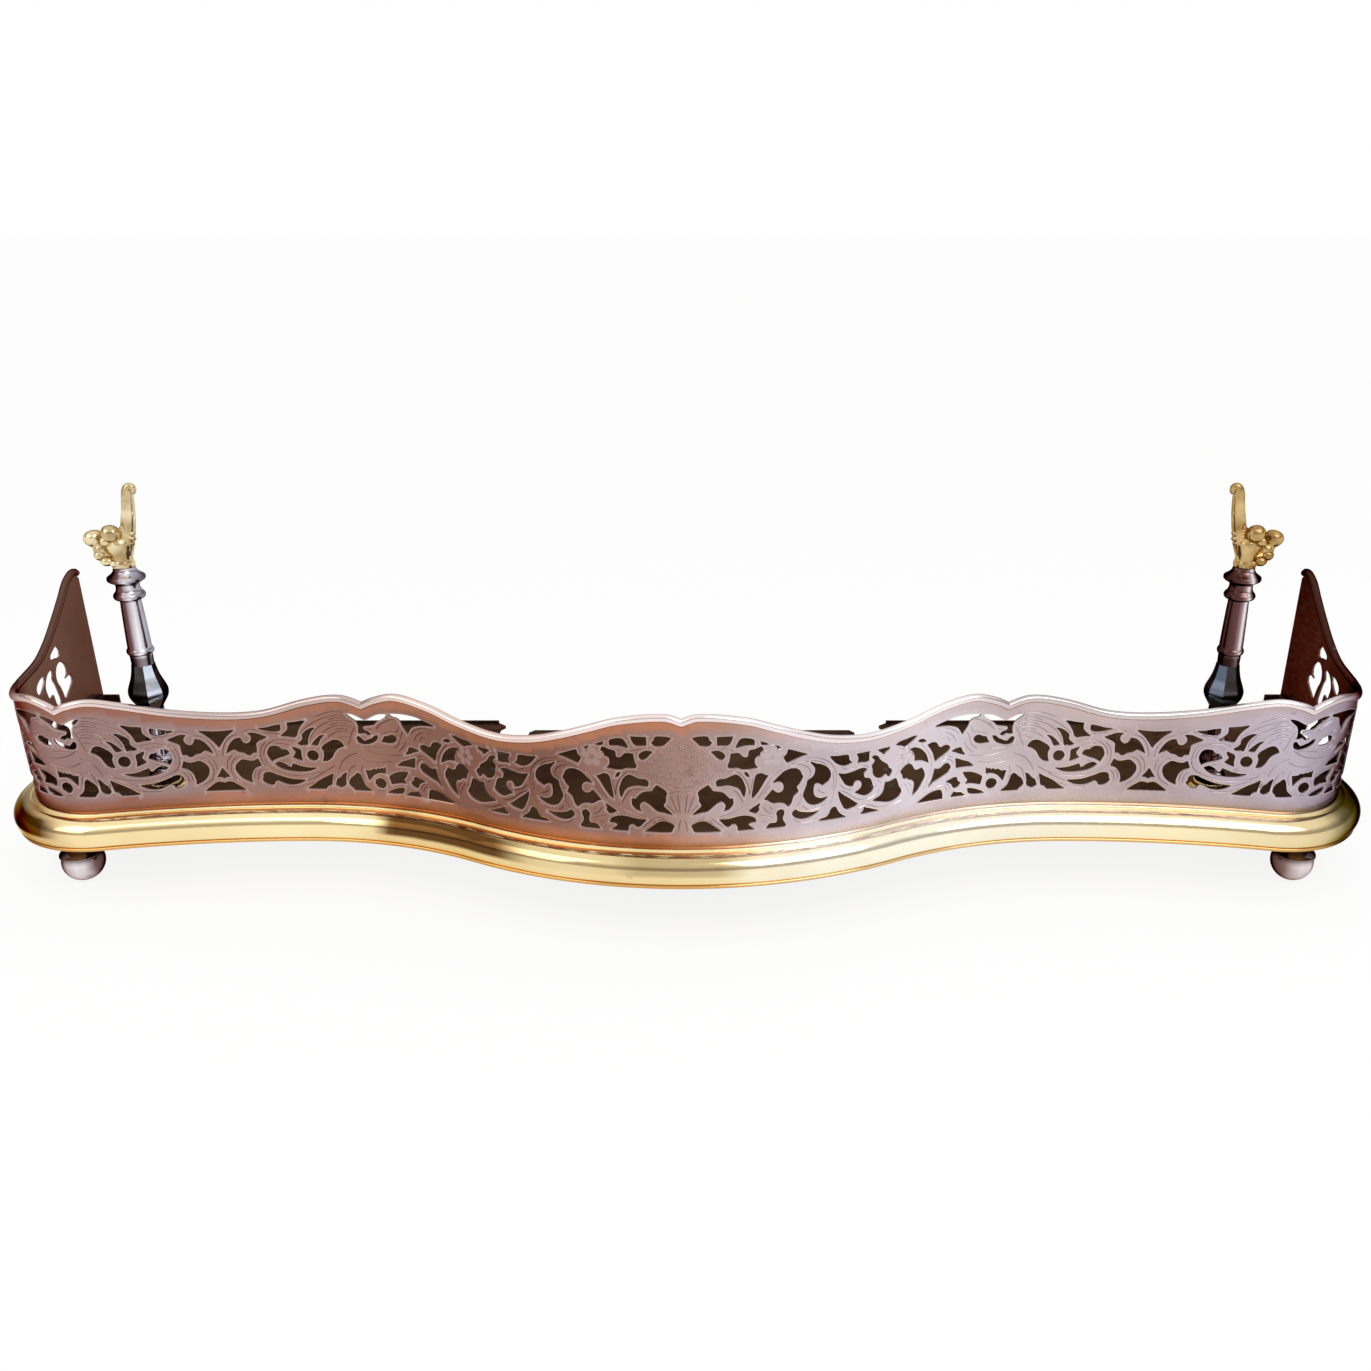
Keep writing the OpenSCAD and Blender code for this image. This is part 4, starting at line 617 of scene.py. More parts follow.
# a flat pierced sheet drawn in [along, height], with chamfered edges, a soft relief on its
# ornament and chased lines, bent into place by toSpace(along, height, out)
def piercedSheet(outer, holes, lines, toSpace, ends, plain):
    edge, thick, rubAndPaintedShine = sheet["edge"], sheet["thickness"], sheet["rubAndPaintedShine"]
    loops = [anticlockwise(loop) for loop in [outer] + holes]
    inset = [offsetLoop(loop, edge if k else -edge) for k, loop in enumerate(loops)]
    for i, q in enumerate(loops[0]):  # the ends of the sheet stay where they are
        for end in ends:
            if abs(q[0] - end) < 0.01:
                inset[0][i] = (end, inset[0][i][1])
    edgeTree = pointTree([q for loop in inset for q in loop])
    holeTree = pointTree([q for loop in inset[1:] for q in loop])
    boxes = [(min(q[0] for q in h), max(q[0] for q in h), min(q[1] for q in h),
              max(q[1] for q in h)) for h in inset[1:]]

    def clear(q, gap):
        if gapTo(edgeTree, q) < gap or not inside(q, inset[0]):
            return False
        return not any(b[0] < q[0] < b[1] and b[2] < q[1] < b[3] and inside(q, h)
                       for b, h in zip(boxes, inset[1:]))

    def relief(q):  # the ornament rises from the edges of its holes
        if plain(*q) > 0.5:
            return 0.0
        return sheet["relief"] * (min(1.0, gapTo(holeTree, q) / sheet["softEdge"]) ** 0.6 - 0.5)

    # front values: not the back, the plain border, and a painted highlight that fades out from the
    # edges of the holes
    def frontMarks(row):
        return [(0.0, plain(*q), max(0.0, 1 - gapTo(holeTree, q) / rubAndPaintedShine)) for q in row]

    coords, edges, rings, depth = [], [], [], {}
    for loop in inset:
        rings.append(list(range(len(coords), len(coords) + len(loop))))
        coords += [Vector(q) for q in loop]
    for hole in loops[1:]:  # a second row of points round each hole keeps its painted edge highlight narrow
        row = [Vector(q) for q in offsetLoop(hole, edge + rubAndPaintedShine) if clear(q, rubAndPaintedShine * 0.8)]
        coords += row[::2]
    for line in lines:
        run = []
        for q in openCurve(line, sheet["grooveStep"]) + [None]:
            if q is not None and clear(q, sheet["grooveWidth"]):
                run.append(q)
                continue
            if len(run) >= sheet["leastGroove"]:
                addGroove(run, coords, edges, depth)
            run = []
    taken = pointTree(coords)
    lows = [min(q[k] for q in outer) for k in (0, 1)]
    highs = [max(q[k] for q in outer) for k in (0, 1)]
    for pitch, fine in ((sheet["grid"], False), (sheet["fineGrid"], True)):
        gap = pitch * sheet["spare"]
        for i in range(int((highs[0] - lows[0]) / pitch) + 1):
            for j in range(int((highs[1] - lows[1]) / pitch) + 1):
                q = (lows[0] + (i + 0.5 * (j % 2)) * pitch, lows[1] + j * pitch)
                if (plain(*q) < 0.5) == fine and clear(q, gap) and gapTo(taken, q) > gap:
                    coords.append(Vector(q))
    flat, _, tris, origVerts, _, origFaces = delaunay_2d_cdt(coords, edges, rings, 1, 1e-4)
    keep = [tuple(t) for t, o in zip(tris, origFaces) if set(o) == {0}]
    drop = [max([depth.get(k, 0.0) for k in o] or [0.0]) for o in origVerts]
    n = len(flat)
    points = [toSpace(*q, relief(q) - d) for q, d in zip(flat, drop)]
    points += [toSpace(*q, -thick) for q in flat]
    marks = frontMarks(flat) + [(1.0, 0.0, 0.0)] * n
    faces = keep + [tuple(n + k for k in reversed(t)) for t in keep]
    lookup = {v: k for k, o in enumerate(origVerts) for v in o}
    for loop, ring in zip(loops, rings):  # chamfer and wall of each edge
        m, base = len(loop), len(points)
        front = [lookup[k] for k in ring]
        points += [toSpace(*q, relief(q) - edge) for q in loop]
        points += [toSpace(*q, edge - thick) for q in loop]
        marks += frontMarks(loop) + [(1.0, 0.0, 0.0)] * m
        for i in range(m):
            k = (i + 1) % m
            quads = [(front[i], front[k], base + k, base + i),
                     (base + i, base + k, base + m + k, base + m + i),
                     (base + m + i, base + m + k, n + front[k], n + front[i])]
            faces += [quad[::-1] for quad in quads] if loop is loops[0] else quads
    return points, faces, marks


# per-point values that the materials read: back of the sheet, plain border, and a painted highlight on
# the edges of the holes
def markPoints(piece, marks):
    for k, label in enumerate(("back", "border", "edge")):
        layer = piece.data.attributes.new(label, "FLOAT", "POINT")
        layer.data.foreach_set("value", [m[k] for m in marks])


# from the flat drawings into place, p outside the face
def frontSpace(s, z, p):
    x, y, nx, ny = spot(s * alongScale)
    return x + p * nx, y + p * ny, floorTop + z


def wingSpace(d, z, p):
    return halfWidth + p, wingStart + d, floorTop + z


def friezeOutline():
    half, lap, lip, gap = drawn["half"], sheet["lap"], rim["gap"] + rim["overlap"], sheet["sideStep"]
    top = [(s, frontTop(s * alongScale) + lip) for s in [*range(0, half, sheet["topStep"]), half]]
    bottom = [(s, -lap) for s in range(half, 0, -gap)]
    middle = [(0, z) for z in range(-lap, int(top[0][1]), gap)]
    corner = [(half, z) for z in range(gap - lap, int(top[-1][1]), gap)]
    return bottom + middle + top + corner[::-1]


def buildFrieze(material):
    shapes = stemOpenings + beastOpenings + axisOpenings
    shapes += [f for f in map(flipped, beastOpenings) if max(q[0] for q in f) < pattern["lastOpening"]]
    holes = [smoothLoop(o) for o in shapes]
    for ring in pattern["rings"]:
        for centre in (ring, flipped([ring])[0]):
            holes.append(arcPoints(centre, pattern["ring"], 0, 360, pattern["ringParts"])[:-1])
    lines = stemLines + beastLines + [flipped(line) for line in beastLines]
    points, faces, marks = piercedSheet(friezeOutline(), openedUp(holes), lines, frontSpace,
                                        (0, drawn["half"]),
                                        lambda s, z: plainBand(z, topAt(s * alongScale)))
    # the joint at the middle carries no wall
    faces = [f for f in faces if not all(abs(points[k][0]) < 0.001 for k in f)]
    piece = meshObject("frieze", *together([(points, faces), onSide("Left", points, faces)]))
    markPoints(piece, marks * 2)
    dress(piece, sheet["crease"], material)
    place(piece, ["frieze_front"])
    print("frieze", len(piece.data.polygons), "faces")


wing = {"topParts": 60, "bottomParts": 40, "sideStep": 5}


def wingOutline():
    lap, lip, gap = sheet["lap"], rim["gap"] + rim["wingOverlap"], wing["sideStep"]
    run = [wingLength * i / wing["topParts"] for i in range(wing["topParts"] + 1)]
    top = [(d, wingTop(d) + lip) for d in run]
    bottom = [(wingLength * i / wing["bottomParts"], -lap) for i in range(wing["bottomParts"] + 1)]
    back = [(wingLength, z) for z in range(4 - lap, int(top[-1][1]), gap)]
    front = [(0, z) for z in range(int(top[0][1]) - 3, -lap, -gap)]
    return bottom + back + top[::-1] + front


def buildWing(side, material):
    holes = [smoothLoop(o) for o in wingOpenings]
    points, faces, marks = piercedSheet(wingOutline(), holes, wingLines, wingSpace, (),
                                        lambda d, z: plainBand(z, wingTop(d)))
    piece = meshObject("wing" + side, *onSide(side, points, faces))
    markPoints(piece, marks)
    dress(piece, sheet["crease"], material)
    place(piece, ["wing_" + side.lower()])


# node trees for what repeats or follows a path
def newTree(name, sizes):
    tree = bpy.data.node_groups.new(name, "GeometryNodeTree")
    tree.interface.new_socket("Geometry", in_out="INPUT", socket_type="NodeSocketGeometry")
    for label, kind, value in sizes:
        socket = tree.interface.new_socket(label, in_out="INPUT", socket_type="NodeSocket" + kind)
        socket.default_value = value
    tree.interface.new_socket("Material", in_out="INPUT", socket_type="NodeSocketMaterial")
    tree.interface.new_socket("Geometry", in_out="OUTPUT", socket_type="NodeSocketGeometry")
    return tree, tree.nodes.new("NodeGroupInput").outputs


# adds a node to any tree and connects or sets its inputs, by name or as _number; a node that
# is given for an input stands for its first output
def step(tree, kind, settings=None, **inputs):
    node = tree.nodes.new(kind)
    for key, value in (settings or {}).items():
        setattr(node, key, value)
    for key, value in inputs.items():
        socket = node.inputs[int(key[1:])] if key[0] == "_" else node.inputs[key.replace("_", " ")]
        value = value.outputs[0] if hasattr(value, "outputs") else value
        if hasattr(value, "links"):
            tree.links.new(value, socket)
        else:
            socket.default_value = value
    return node


def compute(tree, operation, *values):
    inputs = {"_%d" % i: value for i, value in enumerate(values)}
    return step(tree, "ShaderNodeMath", {"operation": operation}, **inputs)


def joined(tree, *parts):
    node = tree.nodes.new("GeometryNodeJoinGeometry")
    for part in parts:
        tree.links.new(part.outputs[0], node.inputs[0])
    return node


def endTree(tree, given, geometry):
    real = step(tree, "GeometryNodeRealizeInstances", Geometry=geometry)
    paint = step(tree, "GeometryNodeSetMaterial", Geometry=real, Material=given["Material"])
    step(tree, "NodeGroupOutput", Geometry=paint)
    return tree


# runs a tree on the host and keeps the result as a plain mesh
def grow(host, tree, values):
    modifier = host.modifiers.new(tree.name, "NODES")
    modifier.node_group = tree
    for item in tree.interface.items_tree:
        if item.item_type == "SOCKET" and item.in_out == "INPUT" and item.name in values:
            modifier[item.identifier] = values[item.name]
    depsgraph = bpy.context.evaluated_depsgraph_get()
    mesh = bpy.data.meshes.new_from_object(host.evaluated_get(depsgraph))
    host.modifiers.remove(modifier)
    host.data = mesh


def makeTubeTree():
    tree, given = newTree("bead", [("Radius", "Float", 0.0035), ("Sides", "Int", 24)])
    path = step(tree, "GeometryNodeMeshToCurve", Mesh=given["Geometry"])
    circle = step(tree, "GeometryNodeCurvePrimitiveCircle", Resolution=given["Sides"],
                  Radius=given["Radius"])
    tube = step(tree, "GeometryNodeCurveToMesh", Curve=path, Profile_Curve=circle, Fill_Caps=True)
    return endTree(tree, given, tube)


# a domed head at every point, slotted where asked, and a shank where the point has one
def makeRivetTree():
    tree, given = newTree("fastener", [
        ("Head Radius", "Float", 0.003), ("Head Height", "Float", 0.001),
        ("Shank Radius", "Float", 0.002), ("Grip", "Float", 0.004), ("Slot", "Float", 0.0)])
    ball = step(tree, "GeometryNodeMeshUVSphere", Segments=20, Rings=10, Radius=1.0)
    squash = step(tree, "ShaderNodeCombineXYZ", X=given["Head Radius"], Y=given["Head Radius"],
                  Z=given["Head Height"])
    dome = step(tree, "GeometryNodeTransform", Geometry=ball, Scale=squash)
    slot = step(tree, "ShaderNodeCombineXYZ", X=given["Slot"], Y=0.02, Z=given["Head Height"])
    cutter = step(tree, "GeometryNodeMeshCube", Size=slot)
    lift = step(tree, "ShaderNodeCombineXYZ", Z=given["Head Height"])
    groove = step(tree, "GeometryNodeTransform", Geometry=cutter, Translation=lift)
    slotted = step(tree, "GeometryNodeMeshBoolean", {"operation": "DIFFERENCE"}, Mesh_1=dome,
                   Mesh_2=groove)
    wanted = step(tree, "FunctionNodeCompare", {"data_type": "FLOAT", "operation": "GREATER_THAN"},
                  A=given["Slot"], B=0.0)
    head = step(tree, "GeometryNodeSwitch", {"input_type": "GEOMETRY"}, Switch=wanted,
                **{"False": dome, "True": slotted})
    rod = step(tree, "GeometryNodeMeshCylinder", Vertices=16, Radius=given["Shank Radius"],
               Depth=given["Grip"])
    down = step(tree, "ShaderNodeCombineXYZ", Z=compute(tree, "MULTIPLY", given["Grip"], -0.5))
    shank = step(tree, "GeometryNodeTransform", Geometry=rod, Translation=down)
    named = "GeometryNodeInputNamedAttribute"
    facing = step(tree, named, {"data_type": "FLOAT_VECTOR"}, Name="facing")
    turn = step(tree, "FunctionNodeAlignRotationToVector", {"axis": "Z"}, Vector=facing)
    carries = step(tree, named, {"data_type": "BOOLEAN"}, Name="shank")
    heads = step(tree, "GeometryNodeInstanceOnPoints", Points=given["Geometry"], Instance=head,
                 Rotation=turn)
    shanks = step(tree, "GeometryNodeInstanceOnPoints", Points=given["Geometry"], Selection=carries,
                  Instance=shank, Rotation=turn)
    return endTree(tree, given, joined(tree, heads, shanks))


# petals or flutes that spread round one point, in the upright plane across the front
def makePetalTree():
    tree, given = newTree("petals", [
        ("Petals", "Int", 5), ("Root", "Float", 0.001), ("Length", "Float", 0.01),
        ("Width", "Float", 0.004), ("Depth", "Float", 0.002), ("First Angle", "Float", 0.0),
        ("Last Angle", "Float", 5.0), ("Lean", "Float", 0.0)])
    ball = step(tree, "GeometryNodeMeshUVSphere", Segments=14, Rings=8, Radius=0.5)
    size = step(tree, "ShaderNodeCombineXYZ", X=given["Length"], Y=given["Depth"], Z=given["Width"])
    half = compute(tree, "MULTIPLY_ADD", given["Length"], 0.5, given["Root"])
    out = step(tree, "ShaderNodeCombineXYZ", X=half)
    lean = step(tree, "ShaderNodeCombineXYZ", Z=given["Lean"])
    petal = step(tree, "GeometryNodeTransform", Geometry=ball, Scale=size)
    petal = step(tree, "GeometryNodeTransform", Geometry=petal, Translation=out)
    petal = step(tree, "GeometryNodeTransform", Geometry=petal, Rotation=lean)
    points = step(tree, "GeometryNodePoints", Count=given["Petals"])
    last = compute(tree, "SUBTRACT", given["Petals"], 1.0)
    angle = step(tree, "ShaderNodeMapRange", Value=tree.nodes.new("GeometryNodeInputIndex"),
                 From_Max=last, To_Min=given["First Angle"], To_Max=given["Last Angle"])
    euler = step(tree, "ShaderNodeCombineXYZ", Y=compute(tree, "MULTIPLY", angle, -1.0))
    return endTree(tree, given, step(tree, "GeometryNodeInstanceOnPoints", Points=points,
                                     Instance=petal, Rotation=euler))


# small five-lobed blossoms strewn over a patch
def makeBlossomTree():
    tree, given = newTree("blossoms", [("Spacing", "Float", 0.004), ("Blossom Radius", "Float", 0.002),
                                       ("Height", "Float", 0.001), ("Seed", "Int", 3)])
    spread = step(tree, "GeometryNodeDistributePointsOnFaces", {"distribute_method": "POISSON"},
                  Mesh=given["Geometry"], Distance_Min=given["Spacing"], Density_Max=90000.0,
                  Seed=given["Seed"])
    ring = step(tree, "GeometryNodeMeshCircle", Vertices=5, Radius=0.6)
    lobe = step(tree, "GeometryNodeMeshUVSphere", Segments=8, Rings=5, Radius=0.48)
    lobes = step(tree, "GeometryNodeInstanceOnPoints", Points=ring, Instance=lobe)
    solid = step(tree, "GeometryNodeRealizeInstances", Geometry=lobes)
    heart = step(tree, "GeometryNodeMeshUVSphere", Segments=8, Rings=5, Radius=0.42)
    raised = step(tree, "GeometryNodeTransform", Geometry=heart, Translation=(0, 0, 0.35))
    size = step(tree, "ShaderNodeCombineXYZ", X=given["Blossom Radius"], Y=given["Blossom Radius"],
                Z=given["Height"])
    blossom = step(tree, "GeometryNodeTransform", Geometry=joined(tree, solid, raised), Scale=size)
    many = step(tree, "FunctionNodeRandomValue", {"data_type": "FLOAT"}, _2=0.8, _3=1.15,
                Seed=given["Seed"])
    strewn = step(tree, "GeometryNodeInstanceOnPoints", Points=spread.outputs["Points"],
                  Instance=blossom, Rotation=spread.outputs["Rotation"], Scale=many.outputs[1])
    return endTree(tree, given, strewn)


trees = {"tube": makeTubeTree(), "rivet": makeRivetTree(), "petals": makePetalTree(),
         "blossoms": makeBlossomTree()}


# raised flowers of the frieze: centre, petals, petal length and width, turn
flowers = [((74, 80), 5, 9.5, 8.5, 90), ((195, 60.5), 6, 9, 7, 60)]
# the petals and the blossoms carry a share of the painted highlight over their whole surface
petals = {"root": 1.2, "depth": 2.2, "lean": 0.05, "paintedShine": 0.5, "crease": 60}
# blossoms in metres, the patch they cover and its outline's right half in millimetres
basket = {"spacing": 0.0042, "radius": 0.0025, "height": 0.0012, "seed": 7, "paintedShine": 0.4,
          "grid": 4.0, "step": 2.5, "lift": 0.15, "patchCrease": 35, "crease": 60,
          "half": [(5, 96.5), (9.5, 91), (18, 89), (21, 83), (26, 78), (33, 75.5), (34, 71.5),
                   (28, 68), (24, 63), (19, 61), (10, 57.5)]}


def basketPatch():
    left = [(-s, z) for s, z in reversed(basket["half"])]
    loop = openCurve(left[-1:] + basket["half"] + left, basket["step"])[:-1]
    grid = [Vector((i, j)) * basket["grid"] for i in range(-9, 10) for j in range(12, 25)]
    coords = loop + [q for q in grid if inside(q, loop)]
    flat, _, tris, _, _, _ = delaunay_2d_cdt(coords, [], [list(range(len(loop)))], 1, 1e-4)
    patch = meshObject("basketBlossoms", [frontSpace(*q, basket["lift"]) for q in flat], tris)
    shadeSmooth(patch, basket["patchCrease"])
    return patch


def buildFlowers(material):
    patch = basketPatch()
    grow(patch, trees["blossoms"], {
        "Spacing": basket["spacing"], "Blossom Radius": basket["radius"],
        "Height": basket["height"], "Seed": basket["seed"], "Material": material})
    # a painted highlight over every blossom
    markPoints(patch, [(0.0, 0.0, basket["paintedShine"])] * len(patch.data.vertices))
    shadeSmooth(patch, basket["crease"])
    place(patch, [])
    for i, ((s, z), count, length, width, turn) in enumerate(flowers):
        for k, side in enumerate((-1, 1)):
            piece = meshObject("flower%d" % (2 * i + k), [(0, 0, 0)])
            last = turn + 360 * (count - 1) / count
            grow(piece, trees["petals"], {
                "Petals": count, "Root": petals["root"] * mm, "Length": length * mm,
                "Width": width * mm, "Depth": petals["depth"] * mm, "Lean": petals["lean"],
                "First Angle": math.radians(turn), "Last Angle": math.radians(last),
                "Material": material})
            x, y, nx, ny = spot(side * s * alongScale)
            piece.data.transform(Matrix(((-ny, -nx, 0, x * mm), (nx, -ny, 0, y * mm),
                                         (0, 0, 1, (floorTop + z) * mm), (0, 0, 0, 1))))
            # a painted highlight over the petals
            markPoints(piece, [(0.0, 0.0, petals["paintedShine"])] * len(piece.data.vertices))
            dress(piece, petals["crease"])
            place(piece, [])
    print("flowers")


# bead rims: a round bead along the top edge, mitred where two arches meet
def archTop(arch, s):
    if arch == 2 and s > frontEnd:
        return wingTop(s - frontEnd)
    knots = sweeps[arch]
    d = s / alongScale
    for (end, height), way in ((knots[0], 1), (knots[-1], -1)):
        if (d - end) * way < 0:  # straight on past its end
            return height + (curveAt(knots, end + way / 2) - height) * 2 * way * (d - end)
    return curveAt(knots, d)


def buildRim(side, arch, label, start, end, material):
    r = rim["radius"]
    first, last = start - rim["overrun"], end + (rim["overrun"] if arch < 2 else 0)
    count = int((last - first) / rim["step"])
    path = []
    for i in range(count + 1):
        s = first + (last - first) * i / count
        x, y, nx, ny = spot(s, -sheet["thickness"] / 2)
        rise = archTop(arch, s + 0.5) - archTop(arch, s - 0.5)
        top = archTop(arch, s) + r * math.sqrt(1 + rise * rise) + rim["gap"]
        path.append((x, y, floorTop + top))
    piece = meshObject("rim" + label + side, path, edges=[(i, i + 1) for i in range(count)])
    grow(piece, trees["tube"], {"Radius": r * mm, "Sides": rim["sides"], "Material": material})
    bm = bmesh.new()
    bm.from_mesh(piece.data)
    for at, way in [(start, -1)] + [(end, 1)] * (arch < 2):
        x, y, nx, ny = spot(at)
        everything = bm.verts[:] + bm.edges[:] + bm.faces[:]
        bmesh.ops.bisect_plane(bm, geom=everything, dist=joinGap, plane_co=(x * mm, y * mm, 0),
                               plane_no=(-ny * way, nx * way, 0), clear_outer=True)
        bmesh.ops.holes_fill(bm, edges=[e for e in bm.edges if e.is_boundary], sides=0)
    if side == "Left":
        bmesh.ops.scale(bm, vec=(-1, 1, 1), verts=bm.verts)
    bmesh.ops.recalc_face_normals(bm, faces=bm.faces)
    bm.to_mesh(piece.data)
    bm.free()
    shadeSmooth(piece, rim["crease"])
    place(piece, ["rim_%s_%s" % (label.lower(), side.lower())])


# brass moulding: its wall follows the shelf, the quirk, the ovolo and the lower band
moulding = {"height": 31, "wall": 1.6, "centre": (6.02, -17.5), "radius": 14.98, "angles": (88, -36),
            "steps": 520, "jointGap": 0.1, "crease": 28}


def mouldingSection():
    low, t, r = -moulding["height"], moulding["wall"], moulding["radius"]
    first, last = moulding["angles"]
    outer = [(0.1, 0), (1.5, -0.1), (4.2, -1.0), (4.7, -1.5), (4.9, -2.3), (5.5, -2.65)]
    outer += arcPoints(moulding["centre"], r, first, last, 24)
    p, z = outer[-1]
    outer += [(p - 0.7, z - 0.5), (p - 0.1, z - 0.8), (p + 0.3, z - 1.3), (p + 0.3, low + 2.0),
              (p - 0.2, low + 1.0), (p - 2.6, low), (-8.6, low), (-8.6, low + t)]
    inner = [(p - 3.2, low + t), (p - 1.3, low + 2.6), (p - 1.3, z - 0.6)]
    inner += arcPoints(moulding["centre"], r - t, last, first, 12)
    return outer + inner + [(3.7, -3.5), (3.2, -2.4), (0.1, -t)]


def buildMoulding(material):
    section = mouldingSection()[::-1]
    count = moulding["steps"]
    front = [spot(-frontEnd + 2 * frontEnd * i / count) for i in range(count + 1)]
    straight = [(halfWidth, y, 1, 0) for y in (wingStart + moulding["jointGap"], backY)]
    for label, stations in (("Front", front), ("Left", straight), ("Right", straight)):
        points = [(x + p * nx, y + p * ny, floorTop + z) for x, y, nx, ny in stations
                  for p, z in section]
        faces = sweptFaces(len(stations), len(section))
        if label == "Left":
            points, faces = onSide("Left", points, faces)
        piece = meshObject("moulding" + label, points, faces)
        dress(piece, moulding["crease"], material)
        place(piece, ["moulding_" + label.lower()])
    print("moulding")


# turned pieces: [radius, height above the floor] of each, rounded between the points
rest = {"bore": 3.15, "sides": 64, "crease": 30, "place": (*centreOf("rest_base_right"), floorTop)}
baseProfile = [(17, 0), (17, 2.5), (16.4, 3.2), (14.6, 4.4), (13.4, 6), (13.3, 8), (13.6, 9.2),
               (13.2, 10.3), (12.6, 11)]
stemProfile = [(11.5, 11), (12.6, 12), (13.1, 14), (13.2, 16), (12.8, 18), (11.6, 19.8),
               (9.3, 21.2), (8.3, 23), (8.3, 26.5), (9.4, 27.6), (10.7, 28.8), (11, 31.5),
               (10.6, 34), (9, 35.8), (8, 37.5), (7.6, 42), (7.5, 47.8), (8.6, 48.7), (10, 49.7),
               (10.1, 51), (10, 52.3), (8.7, 53.4), (7.7, 54.6), (7.3, 60), (7.4, 66),
               (8.2, 74), (9.2, 77.4), (10.1, 79), (10.2, 82)]
balusterProfile = [(9.2, 82), (10.2, 83.5), (11.8, 86), (13.7, 89), (15.3, 92), (16.2, 95),
                   (16.5, 98), (16, 101.5), (14.8, 105), (13.2, 109), (11.8, 113), (10.7, 117.5),
                   (9.9, 122), (9.7, 124)]
columnProfile = [(9.2, 124), (9.3, 129), (9.6, 133.8), (10.6, 134.6), (11.1, 136), (11.1, 137.4),
                 (10.6, 138.6), (9.9, 139.8), (9.8, 143), (9.3, 160), (8.8, 175), (8.6, 182.8),
                 (9.8, 183.6), (12, 184.8), (12.8, 186.4), (12.8, 188), (12, 189.4),
                 (10.5, 191.2), (9.7, 193.5), (9.6, 196), (10.4, 198), (13, 199.6),
                 (14.9, 201), (15.3, 202.4), (15, 204), (13, 205.6), (10.8, 207.4),
                 (9.4, 209.4), (8.8, 212)]
restParts = [("Base", baseProfile, 0, "gilt_brass"), ("Stem", stemProfile, 0, "turned_steel"),
             ("Baluster", balusterProfile, 8, "faceted_steel"),
             ("Column", columnProfile, 0, "turned_steel")]


# a smooth run of [radius, height] through the points of a profile
def turnedCurve(profile, parts):
    knots = [Vector(q) for q in profile]
    last = len(knots) - 1
    out = []
    for i in range(last):
        a, b = knots[i], knots[i + 1]
        slopes = spanSlopes(knots[max(i - 1, 0)], a, b, knots[min(i + 2, last)])
        out += [tuple(hermite(k / parts, a, b, *slopes)) for k in range(parts)]
    return out + [profile[-1]]


# a bored lathe piece; with flats the section is a polygon of that many sides
def turned(profile, bore, flats=0, parts=3):
    run = [(bore, profile[0][1])] + turnedCurve(profile, parts) + [(bore, profile[-1][1])]
    sides, n = flats or rest["sides"], len(run)
    points, faces = [], []
    for k in range(sides):
        g = 2 * math.pi * (k + 0.5) / sides
        points += [(r * math.cos(g), r * math.sin(g), z) for r, z in run]
        a, b = k * n, (k + 1) % sides * n
        faces += [(a + i, b + i, b + (i + 1) % n, a + (i + 1) % n) for i in range(n)]
    return points, faces


def buildRests(materials):
    for side in bothSides:
        for label, profile, flats, slot in restParts:
            points, faces = turned(profile, rest["bore"], flats)
            points, faces = onSide(side, shifted(points, *rest["place"]), faces)
            piece = meshObject("rest" + label + side, points, faces)
            dress(piece, rest["crease"], materials[slot])
            if flats:
                piece.data.materials.append(materials["paintedGlintFacet"])
                inner = 1 if side == "Left" else -1
                for face in piece.data.polygons:  # the front facet nearer the middle is painted bright, a painted reflection
                    if face.normal.x * inner > 0.5 and face.normal.y < -0.5:
                        face.material_index = 1
            place(piece, ["rest_%s_%s" % (label.lower(), side.lower())])
    print("rests")


# cradles, drawn for the right rest: x outwards, y to the back, z above the cradle's foot
cradle = {"foot": 212, "bore": 0.3, "knob": (0, -7, 29), "flutes": 11, "fluteRoot": 4.5,
          "fluteLength": 13, "fluteWidth": 4.6, "fluteDepth": 5.2, "fluteLean": 20,
          "fluteAngles": (140, 325), "crease": 55}
cupProfile = [(8.4, 0), (9, 0.9), (9.3, 2.6), (9.1, 4.4), (8.5, 6), (8.3, 8), (8.6, 10), (9.6, 13),
              (10.8, 16.5), (11.4, 20), (10.6, 23.5), (8.2, 26.5), (4.5, 28.4), (3.2, 29.2),
              (0.4, 29.3)]
# [x, y, z, radius] along the horn and along the stem of the bud
hornPath = [(-3, 0, 12, 6.4), (-6.5, 0, 22, 6.3), (-9.2, 0, 32, 6), (-11.4, 0, 42, 5.7),
            (-13, 0, 51, 5.3), (-13.9, 0, 58, 5), (-14.4, 0, 63, 4.7), (-15.2, 0, 66.6, 4.2),
            (-16.8, 0, 68.6, 3.6), (-18.6, 0, 68.6, 3.1), (-19.8, 0, 66.8, 2.8),
            (-19.8, 0, 64.6, 2.3), (-19, 0, 63.2, 1.4)]
budPath = [(2, 0, 6.5, 5.2), (7, 0, 7, 6), (11.5, 0, 9.2, 6), (14.2, 0, 12, 5.4), (16, 0, 14.8, 6.2),
           (17.2, 0, 16.8, 6), (18.4, 0, 19, 5), (19.6, 0, 21.8, 6.8), (20.9, 0, 24.8, 8),
           (22.1, 0, 27.8, 7.4), (22.9, 0, 30, 5.4), (23.3, 0, 31.2, 2.4)]
